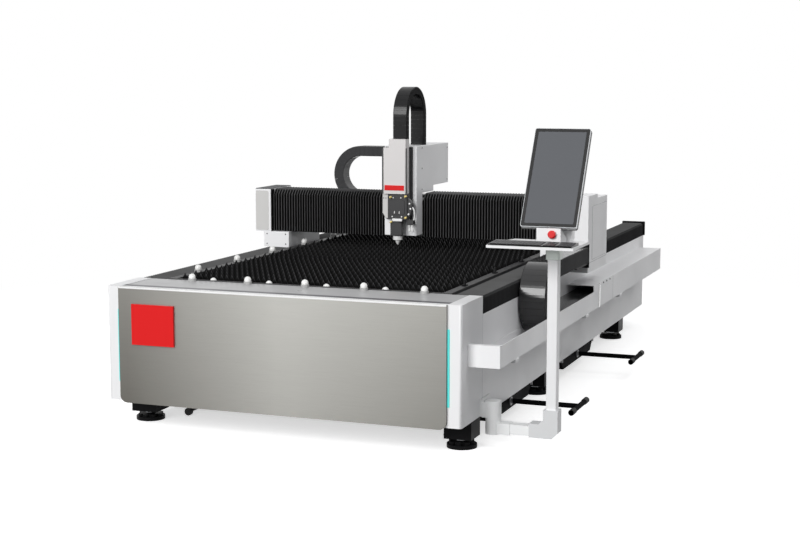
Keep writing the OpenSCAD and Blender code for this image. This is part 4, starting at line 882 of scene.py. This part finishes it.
rows("gas_fittings", "head", "nozzle_steel", nozzle_steel, screw_head(1, -1, 6 * MM),
     *(((x * MM, FACE_Y + 10 * MM, z * MM), (0, 0, 0), 1) for x, z in RIM_SCREWS))
rows("bracket_screws", "head", "rail_steel", screw_steel, screw_head(1, -1, 3.5 * MM),
     ((-113 * MM, FACE_Y + 4 * MM, 1136 * MM), (15 * MM, 0, 0), 2))


def pipe(points, radius, depth, sides=10):
    """A bent pipe through points across and up, in a plane at a depth along the bed."""
    loops = []
    angles = [2 * math.pi * n / sides for n in range(sides)]
    for k, (x, z) in enumerate(points):
        before, after = points[max(0, k - 1)], points[min(len(points) - 1, k + 1)]
        run = Vector((after[0] - before[0], 0, after[1] - before[1])).normalized()
        side = Vector((run.z, 0, -run.x))
        middle = Vector((x * MM, depth, z * MM))
        loops.append([middle + radius * (math.cos(a) * side + Vector((0, math.sin(a), 0))) for a in angles])
    return lofted("pipe", loops)


piece("gas_pipe", "head", "nozzle_steel", nozzle_steel, pipe(PIPE, 4.5 * MM, FACE_Y + 18 * MM))
cover_low, cover_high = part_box("z_cover")
piece("cover_edges", "head", "dark_alu", dark_alu,
      plate(0, (cover_low.y + 5 * MM, cover_low.y + 26 * MM), (cover_low.z + 2 * MM, COVER_EDGE_TOP),
            (cover_high.x - 1 * MM, cover_high.x + 0.8 * MM), radius=1.5 * MM, edge=0.4 * MM, steps=1),
      plate(0, (cover_low.y + 2 * MM, cover_low.y + 26 * MM), (cover_low.z + 2 * MM, COVER_EDGE_TOP),
            (cover_low.x - 9 * MM, cover_low.x + 1 * MM), radius=1.5 * MM, edge=0.4 * MM, steps=1))


# The console: a pale post on a pale swinging arm. A shelf on it carries a glossy black
# keyboard, a stop button in a sloping box, and a tall screen on a hinge.
KEY_PITCH, ROW_PITCH, KEY_HALF, KEY_TALL = 18.4 * MM, 19.9 * MM, 7.8 * MM, 3.4 * MM
KEYS_X, KEYS_Y, KEY_ROWS, BOARD_FRONT = 1126 * MM, -2134 * MM, 6, 7 * MM
KEY_BLOCKS = ((0, 14), (14.6, 3), (18.2, 4))
SCREEN_AT, SCREEN_LEAN = Vector((1.374, -2.0, 1.159)), math.radians(30)
SCREEN_HALF, SCREEN_TALL, BEZEL, RIM = 143 * MM, 545 * MM, 19 * MM, 2.5 * MM
BEZEL_DEEP, CASE_DEEP, PROUD = (-1.2 * MM, 0.5 * MM), (15 * MM, 29.5 * MM), 1.6 * MM

console_paint = coated("console_paint", shade(234, 234, 235), 0.38, stain=0.03)
arm_paint = coated("arm_paint", shade(240, 241, 241), 0.42, stain=0.04)
elbow_paint = coated("elbow_paint", shade(214, 215, 216), 0.42, stain=0.04)
collar_alu = coated("collar_alu", shade(160, 166, 162), 0.35, metal=0.6, grain=0.001, bump=0.05)
key_plastic = coated("key_plastic", shade(12, 12, 13), 0.14, grain=0.0008, bump=0.02, vary=0.04, gloss=0.2)
key_caps = coated("key_caps", shade(58, 58, 60), 0.3, grain=0.0008, bump=0.03, vary=0.05, gloss=0.2)
stop_red = coated("stop_red", shade(222, 30, 32), 0.3, bump=0.02)
case_silver = coated("case_silver", shade(196, 198, 200), 0.3, metal=0.6)
bezel_black = coated("bezel_black", shade(20, 20, 21), 0.25, grain=0.0008, bump=0.02, vary=0.04)
screen_glass = coated("screen_glass", shade(92, 94, 98), 0.12, bump=0.0, stain=0.02, vary=0.03, gloss=0.3)
dress(arm_paint, "swing_arm", "swivel_bracket")
dress(elbow_paint, "arm_elbow")
dress(console_paint, "console_pole", "keyboard_tray", "stop_box", "monitor_neck")
dress(collar_alu, "pole_collar")
dress(key_plastic, "keyboard")
dress(stop_red, "stop_button")
dress(case_silver, "monitor_case")
dress(screen_glass, "monitor_screen")

board_low, board_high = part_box("keyboard")
key_rise = (board_high.z - board_low.z - BOARD_FRONT) / (board_high.y - board_low.y)
key = plate(2, (-KEY_HALF, KEY_HALF), (-KEY_HALF, KEY_HALF), (-1 * MM, KEY_TALL),
            radius=2.4 * MM, edge=1.4 * MM, steps=1)
key_runs = []
for line in range(KEY_ROWS):
    line_y = KEYS_Y + line * ROW_PITCH
    line_z = board_low.z + BOARD_FRONT + key_rise * (line_y - board_low.y)
    for first, count in KEY_BLOCKS:
        key_runs.append(((KEYS_X + first * KEY_PITCH, line_y, line_z), (KEY_PITCH, 0, 0), count))
rows("keys", "console_head", "key_plastic", key_caps, key, *key_runs)


def on_screen(across, up, depth):
    """A point of the leaning screen, from the middle of its lower front edge."""
    return SCREEN_AT + Vector((across, depth * math.cos(SCREEN_LEAN) + up * math.sin(SCREEN_LEAN),
                               up * math.cos(SCREEN_LEAN) - depth * math.sin(SCREEN_LEAN)))


def screen_loop(inset, radius, depth):
    """A loop round the screen's face at a distance in from its edge."""
    return [on_screen(u, v, depth) for u, v in
            corner_loop((inset - SCREEN_HALF, SCREEN_HALF - inset), (inset, SCREEN_TALL - inset), radius)]


piece("screen_bezel", "monitor", "screen_glass", bezel_black,
      lofted("bezel", [screen_loop(RIM, 8 * MM, BEZEL_DEEP[1]), screen_loop(RIM, 8 * MM, BEZEL_DEEP[0]),
                       screen_loop(BEZEL, 3 * MM, BEZEL_DEEP[0]), screen_loop(BEZEL, 3 * MM, BEZEL_DEEP[1])],
             ring=True))
piece("screen_back", "monitor", "screen_glass", bezel_black,
      lofted("back", [screen_loop(RIM, 10 * MM, CASE_DEEP[0]),
                      screen_loop(-PROUD, 12 * MM, CASE_DEEP[0] + PROUD),
                      screen_loop(-PROUD, 12 * MM, CASE_DEEP[1] - PROUD),
                      screen_loop(RIM, 10 * MM, CASE_DEEP[1])]))


# The slag drawers: black steel trays on rubber wheels, each with a tee handle on a steel
# flange and ribbed rubber grips.
GRIP_R, GRIP_HALF, GRIP_LONG, ROD_Z = 17 * MM, 172 * MM, 60 * MM, 120 * MM
RIB_DEEP, FLANGE = 1.5 * MM, ((-1, 26), (4, 26), (6, 23), (6, 15), (14, 14.4))
GRIP_X, FLANGE_X, DRAWER_Y = 1375 * MM, 990 * MM, (-1310 * MM, 196 * MM)

wheel_rubber = coated("wheel_rubber", shade(24, 24, 24), 0.6, gloss=0.3)
drawer_black = coated("drawer_black", shade(16, 16, 17), 0.5, grain=0.0025, bump=0.14, gloss=0.005)
dress(drawer_black, "slag_drawer_front", "slag_drawer_rear")
dress(wheel_rubber, "wheels_front_left", "wheels_front_right", "wheels_rear_left", "wheels_rear_right")
for body, y in zip(("drawer_front", "drawer_rear"), DRAWER_Y):
    ribs = [(along * MM, GRIP_R - (RIB_DEEP if k % 2 else 0.0)) for k, along in enumerate(range(0, 62, 6))]
    piece(f"{body}_grips", body, "wheel_rubber", wheel_rubber,
          turned(1, ribs, (GRIP_X, y - GRIP_HALF, ROD_Z)),
          turned(1, ribs, (GRIP_X, y + GRIP_HALF - GRIP_LONG, ROD_Z)))
    piece(f"{body}_flange", body, "rail_steel", screw_steel,
          turned(0, [(along * MM, r * MM) for along, r in FLANGE], (FLANGE_X, y, ROD_Z)))
